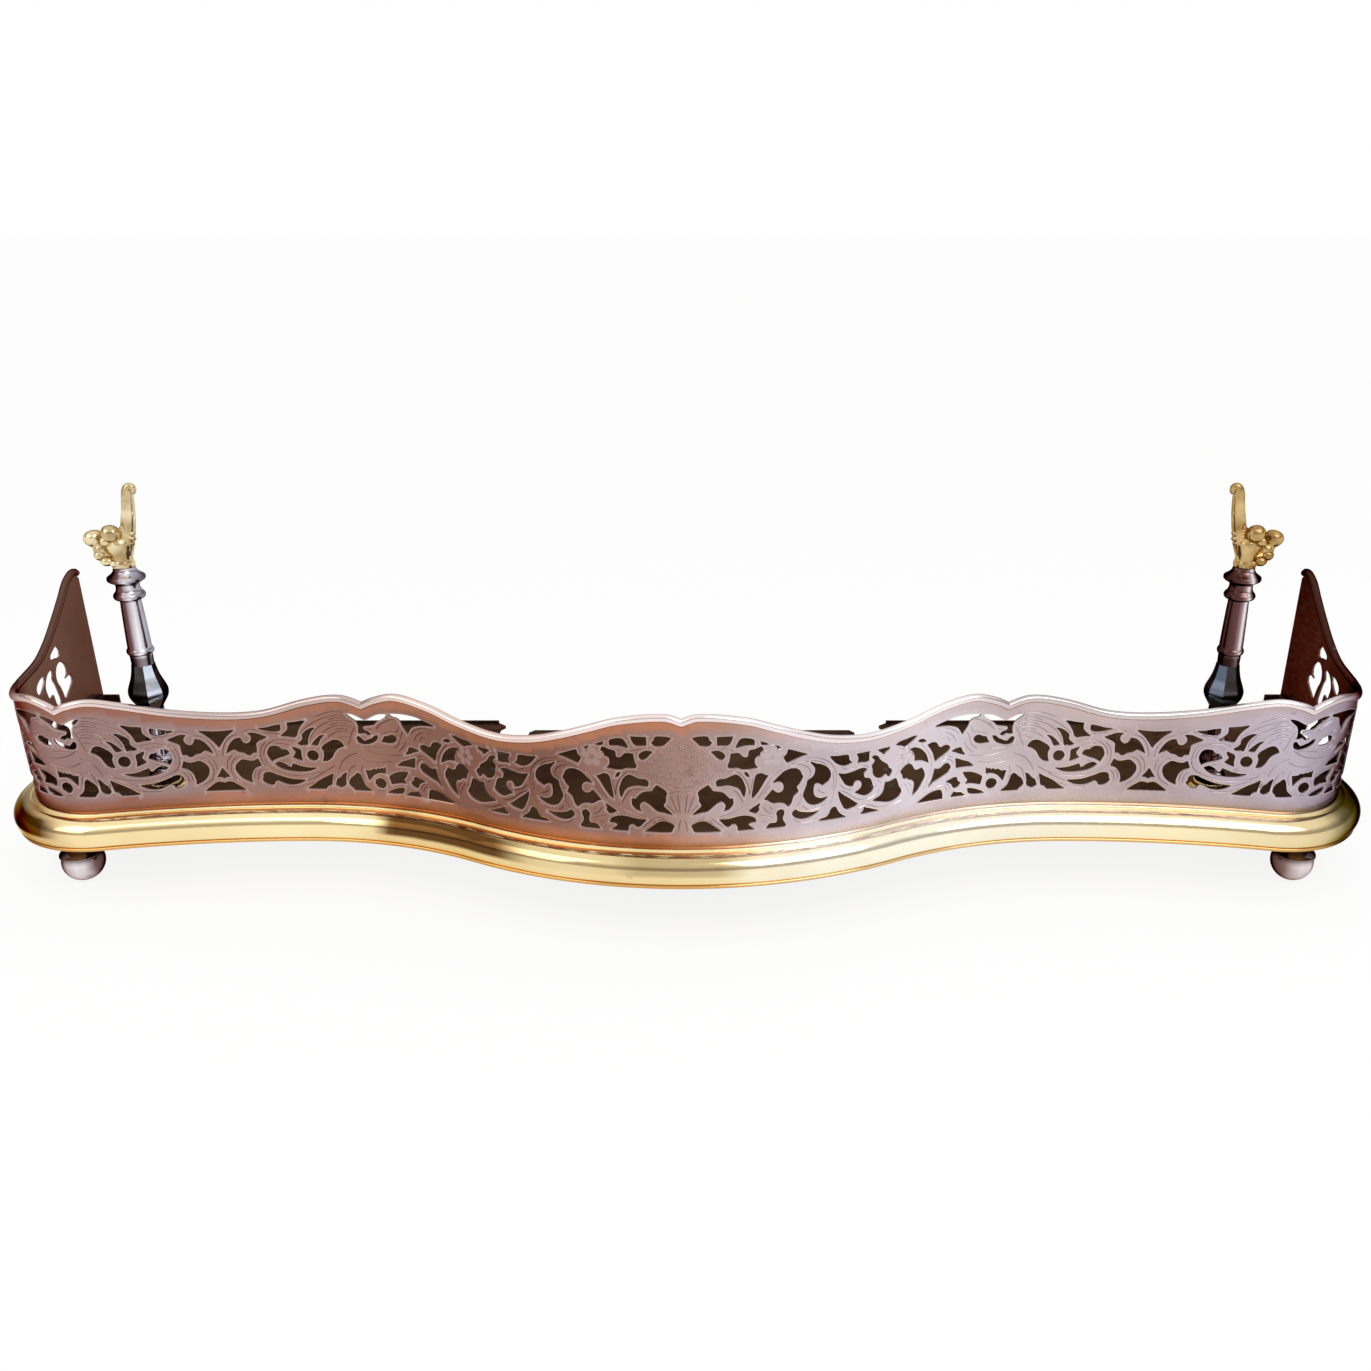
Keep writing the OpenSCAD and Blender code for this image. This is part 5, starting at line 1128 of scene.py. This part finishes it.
# lobes [centre, half sizes]: leaf under the bud, bumps on the horn, the knob and its roll
cradleLobes = [((16.5, -3, 11), (5.4, 5.4, 4.6)), ((10.5, -5, 6.5), (5.8, 5.4, 4.4)),
               ((3.5, -6, 4.6), (5, 4.4, 3.4)), ((-17, -0.5, 55), (1.6, 2.6, 2.8)),
               ((-16.2, -0.5, 47), (1.9, 3, 3.2)), ((1.4, -9.2, 31), (8, 7, 7.6)),
               ((6.6, -9.6, 24.6), (4.4, 4.6, 4.4))]


def stalk(path, sides=20):
    run = openCurve(path)
    points = []
    across = Vector((0, 1, 0))
    for i, q in enumerate(run):
        way = (run[min(i + 1, len(run) - 1)] - run[max(i - 1, 0)]).to_3d().normalized()
        up = across.cross(way)
        for j in range(sides):
            g = 2 * math.pi * j / sides
            points.append(tuple(q.to_3d() + q.w * (math.cos(g) * up + math.sin(g) * across)))
    return points, sweptFaces(len(run), sides)


def lobe(centre, half, sides=18, rows=10):
    x, y, z = centre
    points = [(x, y, z - half[2])]
    for i in range(1, rows):
        v = math.pi * i / rows - math.pi / 2
        for j in range(sides):
            g = 2 * math.pi * j / sides
            swell = math.cos(v) * (1 + 0.05 * math.cos(5 * g))
            points.append((x + half[0] * math.cos(g) * swell, y + half[1] * math.sin(g) * swell,
                           z + half[2] * math.sin(v)))
    points.append((x, y, z + half[2]))
    faces = [tuple(1 + k for k in f) for f in sweptFaces(rows - 1, sides)[:-2]]
    top = len(points) - 1
    for j in range(sides):
        k = (j + 1) % sides
        faces += [(0, 1 + k, 1 + j), (top - sides + j, top - sides + k, top)]
    return points, faces


def buildCradle(side, material):
    first, last = cradle["fluteAngles"]
    host = meshObject("flutes", [(0, 0, 0)])
    grow(host, trees["petals"], {
        "Petals": cradle["flutes"], "Root": cradle["fluteRoot"] * mm,
        "Length": cradle["fluteLength"] * mm, "Width": cradle["fluteWidth"] * mm,
        "Depth": cradle["fluteDepth"] * mm, "Lean": math.radians(cradle["fluteLean"]),
        "First Angle": math.radians(first), "Last Angle": math.radians(last), "Material": material})
    points = shifted([tuple(v.co / mm) for v in host.data.vertices], *cradle["knob"])
    shapes = [(points, [tuple(f.vertices) for f in host.data.polygons])]
    bpy.data.meshes.remove(host.data)  # its object goes with it
    shapes += [stalk(hornPath), stalk(budPath)]
    shapes += [lobe(centre, half) for centre, half in cradleLobes]
    points, faces = together(shapes + [turned(cupProfile, cradle["bore"])])
    points = shifted(shifted(points, 0, 0, cradle["foot"]), *rest["place"])
    piece = meshObject("restCradle" + side, *onSide(side, points, faces))
    dress(piece, cradle["crease"], material)
    place(piece, ["rest_cradle_" + side.lower()])
    print("cradle", side)


# ball feet: the ball up to an angle, a ring on it and a neck
foot = {"radius": 18.5, "flat": 0.6, "bore": 3.2, "ballEnd": 21, "ballParts": 30, "crease": 40,
        "ring": [(17.8, 0.3), (18.7, 0.9), (19, 1.9), (18.7, 2.9), (17.6, 3.5)],
        "neck": [(15.8, 30), (13.4, 32.6), (10.8, 34.8), (9, 36.2), (8, 37.4), (8, 38.9)]}


def buildFeet(material):
    r, centre = foot["radius"], foot["radius"] - foot["flat"]
    low = math.degrees(math.asin(-centre / r))
    profile = arcPoints((0, centre), r, low, foot["ballEnd"], foot["ballParts"])
    ballTop = profile[-1][1]
    profile += [(x, ballTop + z) for x, z in foot["ring"]] + foot["neck"]
    for name in ("front_left", "front_right", "rear_left", "rear_right"):
        points, faces = turned(profile, foot["bore"], parts=1)
        points = shifted(points, *centreOf("foot_" + name), 0)
        piece = meshObject("foot" + name.title().replace("_", ""), points, faces)
        dress(piece, foot["crease"], material)
        place(piece, ["foot_" + name])
    print("feet")


# rivets and screws stand where the frame's own ones do
fastener = {"headHeight": 1.1, "headRadius": 3.1, "shankRadius": 1.95, "slot": 0.7,
            "screwHead": 1.4, "crease": 40}


# the frame's meshes are split at their sharp edges, so points in one place count as one
def loosePieces(node):
    mesh = frame["nodes"][node].data
    seats = [tuple(round(c, 5) for c in v.co) for v in mesh.vertices]
    parent = {q: q for q in seats}

    def find(q):
        while parent[q] != q:
            parent[q] = parent[parent[q]]
            q = parent[q]
        return q
    for edge in mesh.edges:
        a, b = [find(seats[k]) for k in edge.vertices]
        parent[a] = b
    groups = {}
    for q in parent:
        groups.setdefault(find(q), []).append(q)
    return list(groups.values())


def buildFasteners(node, material, screws=False):
    head = fastener["headHeight"] * mm
    heads, facing, shanks = [], [], []
    length = 0
    for group in loosePieces(node):
        cloud = numpy.array(group)
        centre = (cloud.min(0) + cloud.max(0)) / 2
        _, vectors = numpy.linalg.eigh(numpy.cov((cloud - cloud.mean(0)).T))
        axis = numpy.array((0.0, 0.0, 1.0)) if screws else vectors[:, 2]
        reach = (cloud - centre) @ axis
        length = max(length, reach.max() - reach.min())
        for way in ((-1,) if screws else (-1, 1)):
            end = reach.max() if way > 0 else -reach.min()
            heads.append(tuple((centre + axis * way * (end - head)) / mm))
            facing += list(axis * way)
            shanks.append(way < 0)  # one shank joins the two heads of a rivet
    piece = meshObject(node.title().replace("_", "") + "Visual", heads)
    values = piece.data.attributes
    values.new("facing", "FLOAT_VECTOR", "POINT").data.foreach_set("vector", facing)
    values.new("shank", "BOOLEAN", "POINT").data.foreach_set("value", shanks)
    grip = length - (fastener["screwHead"] * mm if screws else 2 * head)
    grow(piece, trees["rivet"], {
        "Head Radius": fastener["headRadius"] * mm, "Head Height": head,
        "Shank Radius": fastener["shankRadius"] * mm, "Grip": float(grip),
        "Slot": fastener["slot"] * mm if screws else 0.0, "Material": material})
    shadeSmooth(piece, fastener["crease"])
    place(piece, [node])


# colours are tuples; a single number is a grey
def rgba(colour):
    return (*colour, 1) if isinstance(colour, tuple) else (colour, colour, colour, 1)


def nodesOf(name):
    material = bpy.data.materials.new(name)
    material.use_nodes = True
    return material, material.node_tree, material.node_tree.nodes["Principled BSDF"]


def noise(tree, coords, scale, detail, stretch=(1, 1, 1)):
    mapping = step(tree, "ShaderNodeMapping", Vector=coords, Scale=stretch)
    return step(tree, "ShaderNodeTexNoise", Vector=mapping, Scale=scale, Detail=detail).outputs["Fac"]


def ramp(tree, source, stops):
    node = step(tree, "ShaderNodeValToRGB", Fac=source)
    while len(node.color_ramp.elements) < len(stops):
        node.color_ramp.elements.new(0.5)
    for element, (at, colour) in zip(node.color_ramp.elements, stops):
        element.position = at
        element.color = rgba(colour)
    return node.outputs["Color"]


def mixColour(tree, share, a, b, mode="MIX"):
    a, b = [value if hasattr(value, "links") else rgba(value) for value in (a, b)]
    settings = {"data_type": "RGBA", "blend_type": mode}
    return step(tree, "ShaderNodeMix", settings, _0=share, _6=a, _7=b).outputs[2]


def attribute(tree, name):
    return step(tree, "ShaderNodeAttribute", {"attribute_name": name}).outputs["Fac"]


# sizes are noise scales; cloud and rub hold the noise levels that their ramps span
wear = {"cloud": (0.36, 0.64), "stainSize": 70, "stainBlur": 0.16, "stainShare": 0.7,
        "rubAndPaintedShine": (0.3, 0.7), "bump": 0.4, "blurSize": 14}


# a colour ramp along one object axis, stops given in metres, its borders blurred by spread
def alongAxis(tree, coords, axis, stops, spread=0.08):
    low, high = stops[0][0], stops[-1][0]
    xyz = step(tree, "ShaderNodeSeparateXYZ", Vector=coords)
    line = step(tree, "ShaderNodeMapRange", Value=xyz.outputs[axis], From_Min=low, From_Max=high)
    blur = compute(tree, "MULTIPLY_ADD", noise(tree, coords, wear["blurSize"], 3), spread, line)
    at = compute(tree, "SUBTRACT", blur, spread / 2)
    return ramp(tree, at, [((p - low) / (high - low), colour) for p, colour in stops])


# polished metal with wear: clouded tone, faint stains, fine rubbing marks and an uneven gloss; the
# tint, where given, mostly adds painted reflections and shade
def agedMetal(name, tones, rough, stains, stainLevel=0.64, grain=(1, 1, 1), depth=0.0001,
              tintAndPaintedLight=None, cloudSize=9, rubSize=160):
    material, tree, shader = nodesOf(name)
    coords = step(tree, "ShaderNodeTexCoord").outputs["Object"]
    colour = ramp(tree, noise(tree, coords, cloudSize, 5), list(zip(wear["cloud"], tones)))
    if tintAndPaintedLight:
        colour = tintAndPaintedLight(tree, coords, colour)
    stain = ramp(tree, noise(tree, coords, wear["stainSize"], 6),
                 [(stainLevel, 0), (stainLevel + wear["stainBlur"], wear["stainShare"])])
    colour = mixColour(tree, stain, colour, stains)
    rubAndPaintedShine = noise(tree, coords, rubSize, 4, grain)
    gloss = step(tree, "ShaderNodeMapRange", Value=rubAndPaintedShine, From_Min=wear["rubAndPaintedShine"][0],
                 From_Max=wear["rubAndPaintedShine"][1], To_Min=rough[0], To_Max=rough[1])
    dents = step(tree, "ShaderNodeBump", Distance=depth, Strength=wear["bump"], Height=rubAndPaintedShine)
    shader.inputs["Metallic"].default_value = 1
    for key, value in (("Base Color", colour), ("Specular Tint", colour),
                       ("Roughness", gloss.outputs["Result"]), ("Normal", dents.outputs["Normal"])):
        tree.links.new(value, shader.inputs[key])
    return material


# the frieze browns from its right half to its left in painted reflections, bright lilac on the right
# and brown on the left, and it goes dark at its right corner; its plain borders take warmer painted
# reflections, its back a dark painted reflection, and a painted highlight brightens the edges of its
# holes
def friezeToneAndPaintedLight(tree, coords, cloud):
    body = alongAxis(tree, coords, "X", [
        (-0.61, (0.28, 0.15, 0.13)), (-0.46, (0.45, 0.30, 0.28)), (-0.32, (0.38, 0.21, 0.16)),
        (-0.20, (0.25, 0.12, 0.085)), (-0.10, (0.28, 0.14, 0.10)), (0.0, (0.42, 0.26, 0.22)),
        (0.10, (0.66, 0.57, 0.60)), (0.22, (0.80, 0.74, 0.78)), (0.38, (0.56, 0.43, 0.42)),
        (0.52, (0.60, 0.54, 0.62)), (0.56, (0.44, 0.38, 0.45)), (0.585, (0.26, 0.18, 0.19)),
        (0.598, (0.09, 0.032, 0.024)), (0.62, (0.05, 0.018, 0.012))])
    border = alongAxis(tree, coords, "X", [
        (-0.61, (0.27, 0.12, 0.09)), (-0.40, (0.50, 0.23, 0.16)), (-0.18, (0.40, 0.17, 0.09)),
        (-0.02, (0.54, 0.23, 0.13)), (0.04, (0.60, 0.36, 0.28)), (0.12, (0.80, 0.70, 0.74)),
        (0.34, (0.66, 0.52, 0.50)), (0.52, (0.56, 0.46, 0.48)), (0.56, (0.42, 0.36, 0.43)),
        (0.59, (0.28, 0.18, 0.18)), (0.598, (0.08, 0.028, 0.02)), (0.62, (0.05, 0.016, 0.01))])
    back = alongAxis(tree, coords, "X", [(-0.61, (0.19, 0.112, 0.088)), (0.61, (0.115, 0.056, 0.04))])
    front = mixColour(tree, attribute(tree, "border"), body, border)
    front = mixColour(tree, 0.6, front, cloud, "MULTIPLY")
    # painted highlight along the edges of the holes and over the flowers
    share = compute(tree, "MULTIPLY", attribute(tree, "edge"), 0.26)
    front = mixColour(tree, share, front, (0.86, 0.76, 0.76))
    back = mixColour(tree, 0.8, back, cloud, "MULTIPLY")
    return mixColour(tree, attribute(tree, "back"), front, back)


# painted reflections on the bead: bright along the front, browner towards its left end and darker at
# both corners, with a dark brown painted reflection along the wings
def beadToneAndPaintedLight(tree, coords, cloud):
    paintedWingReflection = alongAxis(tree, coords, "Y", [(-0.055, 0), (-0.03, 0.6), (0.01, 1)])
    brown = alongAxis(tree, coords, "X", [(-0.6, (0.13, 0.065, 0.05)), (0.6, (0.06, 0.022, 0.014))])
    warm = alongAxis(tree, coords, "X", [
        (-0.61, (0.72, 0.56, 0.52)), (-0.45, (0.96, 0.86, 0.82)), (-0.2, (0.86, 0.70, 0.62)),
        (-0.05, (0.92, 0.80, 0.76)), (0.06, (1, 0.98, 0.98)), (0.5, (1, 0.97, 0.98)),
        (0.57, (0.55, 0.48, 0.52)), (0.61, (0.2, 0.12, 0.11))])
    front = mixColour(tree, 1.0, cloud, warm, "MULTIPLY")
    return mixColour(tree, paintedWingReflection, front, brown)


# bright brass with painted brown reflections that stay in one stretch of its round face; its tone
# along its length is painted reflection too, dark at its right end, and it is darker along its lower
# edge
def brassToneAndPaintedLight(tree, coords, cloud):
    along = alongAxis(tree, coords, "X", [
        (-0.63, (0.85, 0.85, 0.72)), (-0.60, (0.80, 0.70, 0.48)), (-0.575, (0.72, 0.50, 0.26)),
        (-0.535, (1.0, 0.82, 0.46)),
        (-0.30, (1.0, 0.86, 0.50)), (-0.26, (0.90, 0.68, 0.34)), (-0.19, (0.96, 0.76, 0.38)),
        (-0.06, (0.98, 0.80, 0.44)), (0.03, (0.96, 0.78, 0.44)), (0.1, (1.0, 0.95, 0.76)),
        (0.30, (1.0, 0.96, 0.78)), (0.42, (1.0, 0.86, 0.54)), (0.545, (0.90, 0.76, 0.46)),
        (0.562, (0.74, 0.62, 0.36)), (0.577, (0.46, 0.38, 0.22)), (0.59, (0.27, 0.23, 0.12)),
        (0.605, (0.18, 0.155, 0.08)), (0.63, (0.14, 0.12, 0.062))])
    patch = alongAxis(tree, coords, "X", [
        (-0.63, 0.1), (-0.595, 1), (-0.565, 1), (-0.55, 0),
        (-0.275, 0), (-0.26, 1), (-0.16, 1), (-0.13, 0.2),
        (-0.06, 0.1), (-0.04, 0.4), (0.03, 0.4),
        (0.06, 0), (0.63, 0)], 0.02)
    level = alongAxis(tree, coords, "Z", [
        (0.062, 0), (0.065, 1), (0.0765, 1), (0.0785, 0)], 0.25)
    shade = mixColour(tree, 1.0, patch, level, "MULTIPLY")
    under = alongAxis(tree, coords, "Z", [(0.05, (0.66, 0.44, 0.26)), (0.0545, (0.74, 0.52, 0.3)),
                                          (0.056, 1), (0.082, 1)], 0.02)
    tone = mixColour(tree, 0.6, along, cloud, "MULTIPLY")
    tone = mixColour(tree, shade, tone, (0.13, 0.058, 0.016))
    return mixColour(tree, 0.9, tone, under, "MULTIPLY")


def giltTint(tree, coords, cloud):
    side = alongAxis(tree, coords, "X", [(-0.5, (0.96, 0.94, 0.90)), (0.5, (0.74, 0.60, 0.40))])
    return mixColour(tree, 1.0, cloud, side, "MULTIPLY")


# tones across the two uprights of a pair, each side by its own stops
def acrossPair(tree, coords, left, right, spread):
    side = alongAxis(tree, coords, "X", [(-0.1, 0), (0.1, 1)], 0.0)
    return mixColour(tree, side, alongAxis(tree, coords, "X", left, spread),
                     alongAxis(tree, coords, "X", right, spread))


# the turned steel of the rests is brown on its left and bright on its right in painted reflections: a
# bright painted highlight streak just right of the middle, dark towards the edges, and a painted dark
# band round the neck above the baluster
def turnedToneAndPaintedLight(tree, coords, cloud):
    paintedStreak = acrossPair(tree, coords, [
        (-0.492, (0.05, 0.024, 0.02)), (-0.482, (0.085, 0.036, 0.03)), (-0.477, (0.17, 0.085, 0.08)),
        (-0.4745, (0.55, 0.50, 0.56)), (-0.471, 1.0), (-0.468, (0.55, 0.54, 0.62)),
        (-0.46, (0.16, 0.14, 0.17))], [
        (0.46, (0.04, 0.016, 0.013)), (0.468, (0.07, 0.028, 0.024)), (0.474, (0.14, 0.065, 0.06)),
        (0.477, (0.34, 0.24, 0.24)), (0.4795, (1.0, 0.95, 0.96)), (0.482, (0.26, 0.18, 0.18)),
        (0.484, (0.03, 0.013, 0.013)), (0.492, (0.02, 0.008, 0.008))], 0.03)
    neck = alongAxis(tree, coords, "Z", [
        (0.08, 0.8), (0.20, 0.8), (0.206, (0.3, 0.27, 0.27)),
        (0.212, (0.3, 0.27, 0.27)), (0.215, 1), (0.32, 1)], 0.004)
    tone = mixColour(tree, 0.5, paintedStreak, cloud, "MULTIPLY")
    return mixColour(tree, 1.0, tone, neck, "MULTIPLY")


# painted shading of the ball feet: a painted highlight down the middle of each ball, darker towards
# its sides, a little darker near the floor, and painted shade over its top under the moulding
def feetToneAndPaintedShade(tree, coords, cloud):
    shine = acrossPair(tree, coords, [
        (-0.577, (0.07, 0.036, 0.03)), (-0.570, (0.32, 0.19, 0.17)), (-0.563, (0.85, 0.74, 0.76)),
        (-0.556, (1.0, 0.98, 1.0)), (-0.549, (0.85, 0.78, 0.82)), (-0.542, (0.22, 0.13, 0.13)),
        (-0.537, (0.06, 0.03, 0.03))], [
        (0.537, (0.09, 0.045, 0.04)), (0.544, (0.3, 0.19, 0.17)), (0.550, (0.75, 0.62, 0.6)),
        (0.557, (1.0, 0.96, 0.96)), (0.566, (0.95, 0.88, 0.88)), (0.572, (0.4, 0.28, 0.27)),
        (0.577, (0.09, 0.045, 0.04))], 0.12)
    level = alongAxis(tree, coords, "Z", [
        (0, (0.45, 0.36, 0.34)), (0.008, (0.9, 0.86, 0.86)), (0.02, 1),
        (0.026, (0.4, 0.36, 0.36)), (0.031, (0.1, 0.08, 0.08)), (0.04, (0.08, 0.06, 0.06))], 0.1)
    tone = mixColour(tree, 0.4, shine, cloud, "MULTIPLY")
    return mixColour(tree, 1.0, tone, level, "MULTIPLY")


# the painted glint on the front facet: bright on the left rest, dark blue-grey on the right
def facetToneAndPaintedGlint(tree, coords, cloud):
    side = alongAxis(tree, coords, "X", [(-0.47, 1), (0.47, (0.16, 0.18, 0.22))])
    return mixColour(tree, 1.0, cloud, side, "MULTIPLY")


def makeMaterials():
    return {
        "frieze_steel": agedMetal(
            "friezeSteel", ((0.66, 0.62, 0.62), (1.0, 0.98, 1.0)), (0.2, 0.36), (0.20, 0.11, 0.08),
            0.66, (0.5, 0.5, 1.5), 0.00012, friezeToneAndPaintedLight),
        "bead_steel": agedMetal(
            "beadSteel", ((0.88, 0.80, 0.80), (0.98, 0.95, 0.96)), (0.1, 0.2), (0.62, 0.44, 0.38),
            0.66, tintAndPaintedLight=beadToneAndPaintedLight),
        "turned_steel": agedMetal(
            "turnedSteel", ((0.62, 0.55, 0.56), (0.95, 0.92, 0.98)), (0.08, 0.18),
            (0.22, 0.12, 0.10), 0.66, (1, 1, 5), tintAndPaintedLight=turnedToneAndPaintedLight, cloudSize=22),
        "feet": agedMetal(
            "feetSteel", ((0.30, 0.22, 0.21), (0.85, 0.8, 0.84)), (0.05, 0.14), (0.14, 0.08, 0.07),
            0.62, tintAndPaintedLight=feetToneAndPaintedShade, cloudSize=26),
        "faceted_steel": agedMetal(
            "facetedSteel", ((0.030, 0.024, 0.024), (0.085, 0.07, 0.075)), (0.12, 0.24),
            (0.14, 0.08, 0.06), 0.66, cloudSize=30),
        # a painted reflection on one facet of each baluster
        "paintedGlintFacet": agedMetal(
            "facetedSteelPaintedGlint", ((0.60, 0.68, 0.84), (0.90, 0.95, 1.0)), (0.12, 0.24),
            (0.3, 0.28, 0.3), 0.66, tintAndPaintedLight=facetToneAndPaintedGlint, cloudSize=30),
        "brass": agedMetal(
            "brass", ((0.80, 0.71, 0.58), 1.0), (0.07, 0.17), (0.42, 0.24, 0.09), 0.7,
            (0.6, 0.6, 3), 0.00008, brassToneAndPaintedLight, 7),
        "gilt_brass": agedMetal(
            "giltBrass", ((0.46, 0.33, 0.16), (0.92, 0.80, 0.54)), (0.14, 0.28),
            (0.16, 0.09, 0.04), 0.66, depth=0.0003, tintAndPaintedLight=giltTint, cloudSize=60),
        "floor_iron": agedMetal(
            "floorIron", ((0.075, 0.042, 0.028), (0.125, 0.078, 0.048)), (0.42, 0.62),
            (0.04, 0.022, 0.015), depth=0.0005, rubSize=60),
        "wing_iron": agedMetal(
            "wingIron", ((0.09, 0.04, 0.025), (0.15, 0.08, 0.055)), (0.35, 0.55),
            (0.05, 0.025, 0.02), depth=0.0004),
        "black_iron": agedMetal(
            "blackIron", ((0.05, 0.045, 0.04), (0.1, 0.09, 0.08)), (0.5, 0.75), (0.12, 0.06, 0.03),
            depth=0.0006),
        "bright_fasteners": agedMetal(
            "brightFasteners", ((0.45, 0.41, 0.39), (0.7, 0.68, 0.66)), (0.2, 0.4),
            (0.3, 0.2, 0.15))}


def dressCadNodes(materials):
    for row in frame["record"]["subparts"]:
        slots = frame["nodes"][row["node"]].data.materials
        slots.clear()
        slots.append(materials[row["material_slot"]])


# stage, in metres: the camera, and each lamp's place, target, size and watts
camera = {"place": (0.04, -0.99675, 0.5815), "pitch": 22, "lens": 31.51, "sensor": 36,
          "shift": -0.0333}
ground = {"size": 40, "tone": 0.97, "roughness": 0.9, "shine": 0.1, "glow": 0.87}
lamps = {"key": ((0.9, -1.2, 1.6), (0.1, 0, 0.1), 1.2, 9),
         "fill": ((-1.3, -1.0, 1.2), (-0.1, 0, 0.1), 1.0, 4)}


# the ground glows for the camera and in reflections, and so stays pale under a faint shadow
def buildGround():
    bpy.ops.mesh.primitive_plane_add(size=ground["size"])
    floor = bpy.context.object
    floor.name = "stageFloor"
    material, tree, shader = nodesOf("stageFloor")
    shader.inputs["Base Color"].default_value = rgba(ground["tone"])
    shader.inputs["Roughness"].default_value = ground["roughness"]
    shader.inputs["Specular IOR Level"].default_value = ground["shine"]
    rays = step(tree, "ShaderNodeLightPath").outputs
    seen = compute(tree, "MAXIMUM", rays["Is Camera Ray"], rays["Is Glossy Ray"])
    seen = compute(tree, "MAXIMUM", seen, rays["Is Transmission Ray"])
    share = compute(tree, "MULTIPLY", seen, ground["glow"])
    glow = step(tree, "ShaderNodeEmission", Strength=1.0)
    both = step(tree, "ShaderNodeMixShader", _0=share, _1=shader, _2=glow)
    tree.links.new(both.outputs[0], tree.nodes["Material Output"].inputs["Surface"])
    floor.data.materials.append(material)


# a white room with a grey band part way up, and all white for the camera
def buildWorld():
    world = bpy.data.worlds.new("studio")
    bpy.context.scene.world = world
    world.use_nodes = True
    tree = world.node_tree
    coords = step(tree, "ShaderNodeTexCoord").outputs["Generated"]
    xyz = step(tree, "ShaderNodeSeparateXYZ", Vector=coords)
    sky = ramp(tree, xyz.outputs["Z"], [(0.0, 1), (0.15, 1), (0.26, (0.45, 0.41, 0.39)),
                                        (0.46, (0.5, 0.47, 0.46)), (0.66, 1), (1.0, 1)])
    rays = step(tree, "ShaderNodeLightPath").outputs
    back = tree.nodes["Background"]
    tree.links.new(mixColour(tree, rays["Is Camera Ray"], sky, 1), back.inputs["Color"])
    back.inputs["Strength"].default_value = 1.0


def buildStage():
    scene = bpy.context.scene
    buildGround()
    buildWorld()
    for name, (where, target, size, watts) in lamps.items():
        light = bpy.data.lights.new(name, "AREA")
        light.size = size
        light.energy = watts
        lamp = bpy.data.objects.new(name, light)
        lamp.location = where
        lamp.rotation_euler = (Vector(target) - Vector(where)).to_track_quat("-Z", "Y").to_euler()
        scene.collection.objects.link(lamp)
    view = bpy.data.cameras.new("camera")
    view.lens = camera["lens"]
    view.sensor_width = camera["sensor"]
    view.shift_x = camera["shift"]
    eye = bpy.data.objects.new("camera", view)
    eye.location = camera["place"]
    eye.rotation_euler = (math.radians(90 - camera["pitch"]), 0, 0)
    scene.collection.objects.link(eye)
    scene.camera = eye
    scene.view_settings.view_transform = "Standard"


# the fender
materials = makeMaterials()
dressCadNodes(materials)
print("materials")
buildFrieze(materials["frieze_steel"])
buildFlowers(materials["frieze_steel"])
for side in bothSides:
    buildWing(side, materials["frieze_steel"])
print("wings")
ends = [0] + [cusp * alongScale for cusp in drawn["cusps"]] + [frontEnd + wingLength - 1]
for side in bothSides:
    for arch, label in enumerate(("Inner", "Outer", "Wing")):
        buildRim(side, arch, label, ends[arch], ends[arch + 1], materials["bead_steel"])
print("rims")
buildMoulding(materials["brass"])
buildRests(materials)
for side in bothSides:
    buildCradle(side, materials["gilt_brass"])
buildFeet(materials["feet"])
for node in ("frieze_rivets", "seam_rivets", "cleat_rivets", "back_rivets"):
    buildFasteners(node, materials["black_iron"])
buildFasteners("moulding_screws", materials["brass"], True)
print("fasteners")
buildStage()
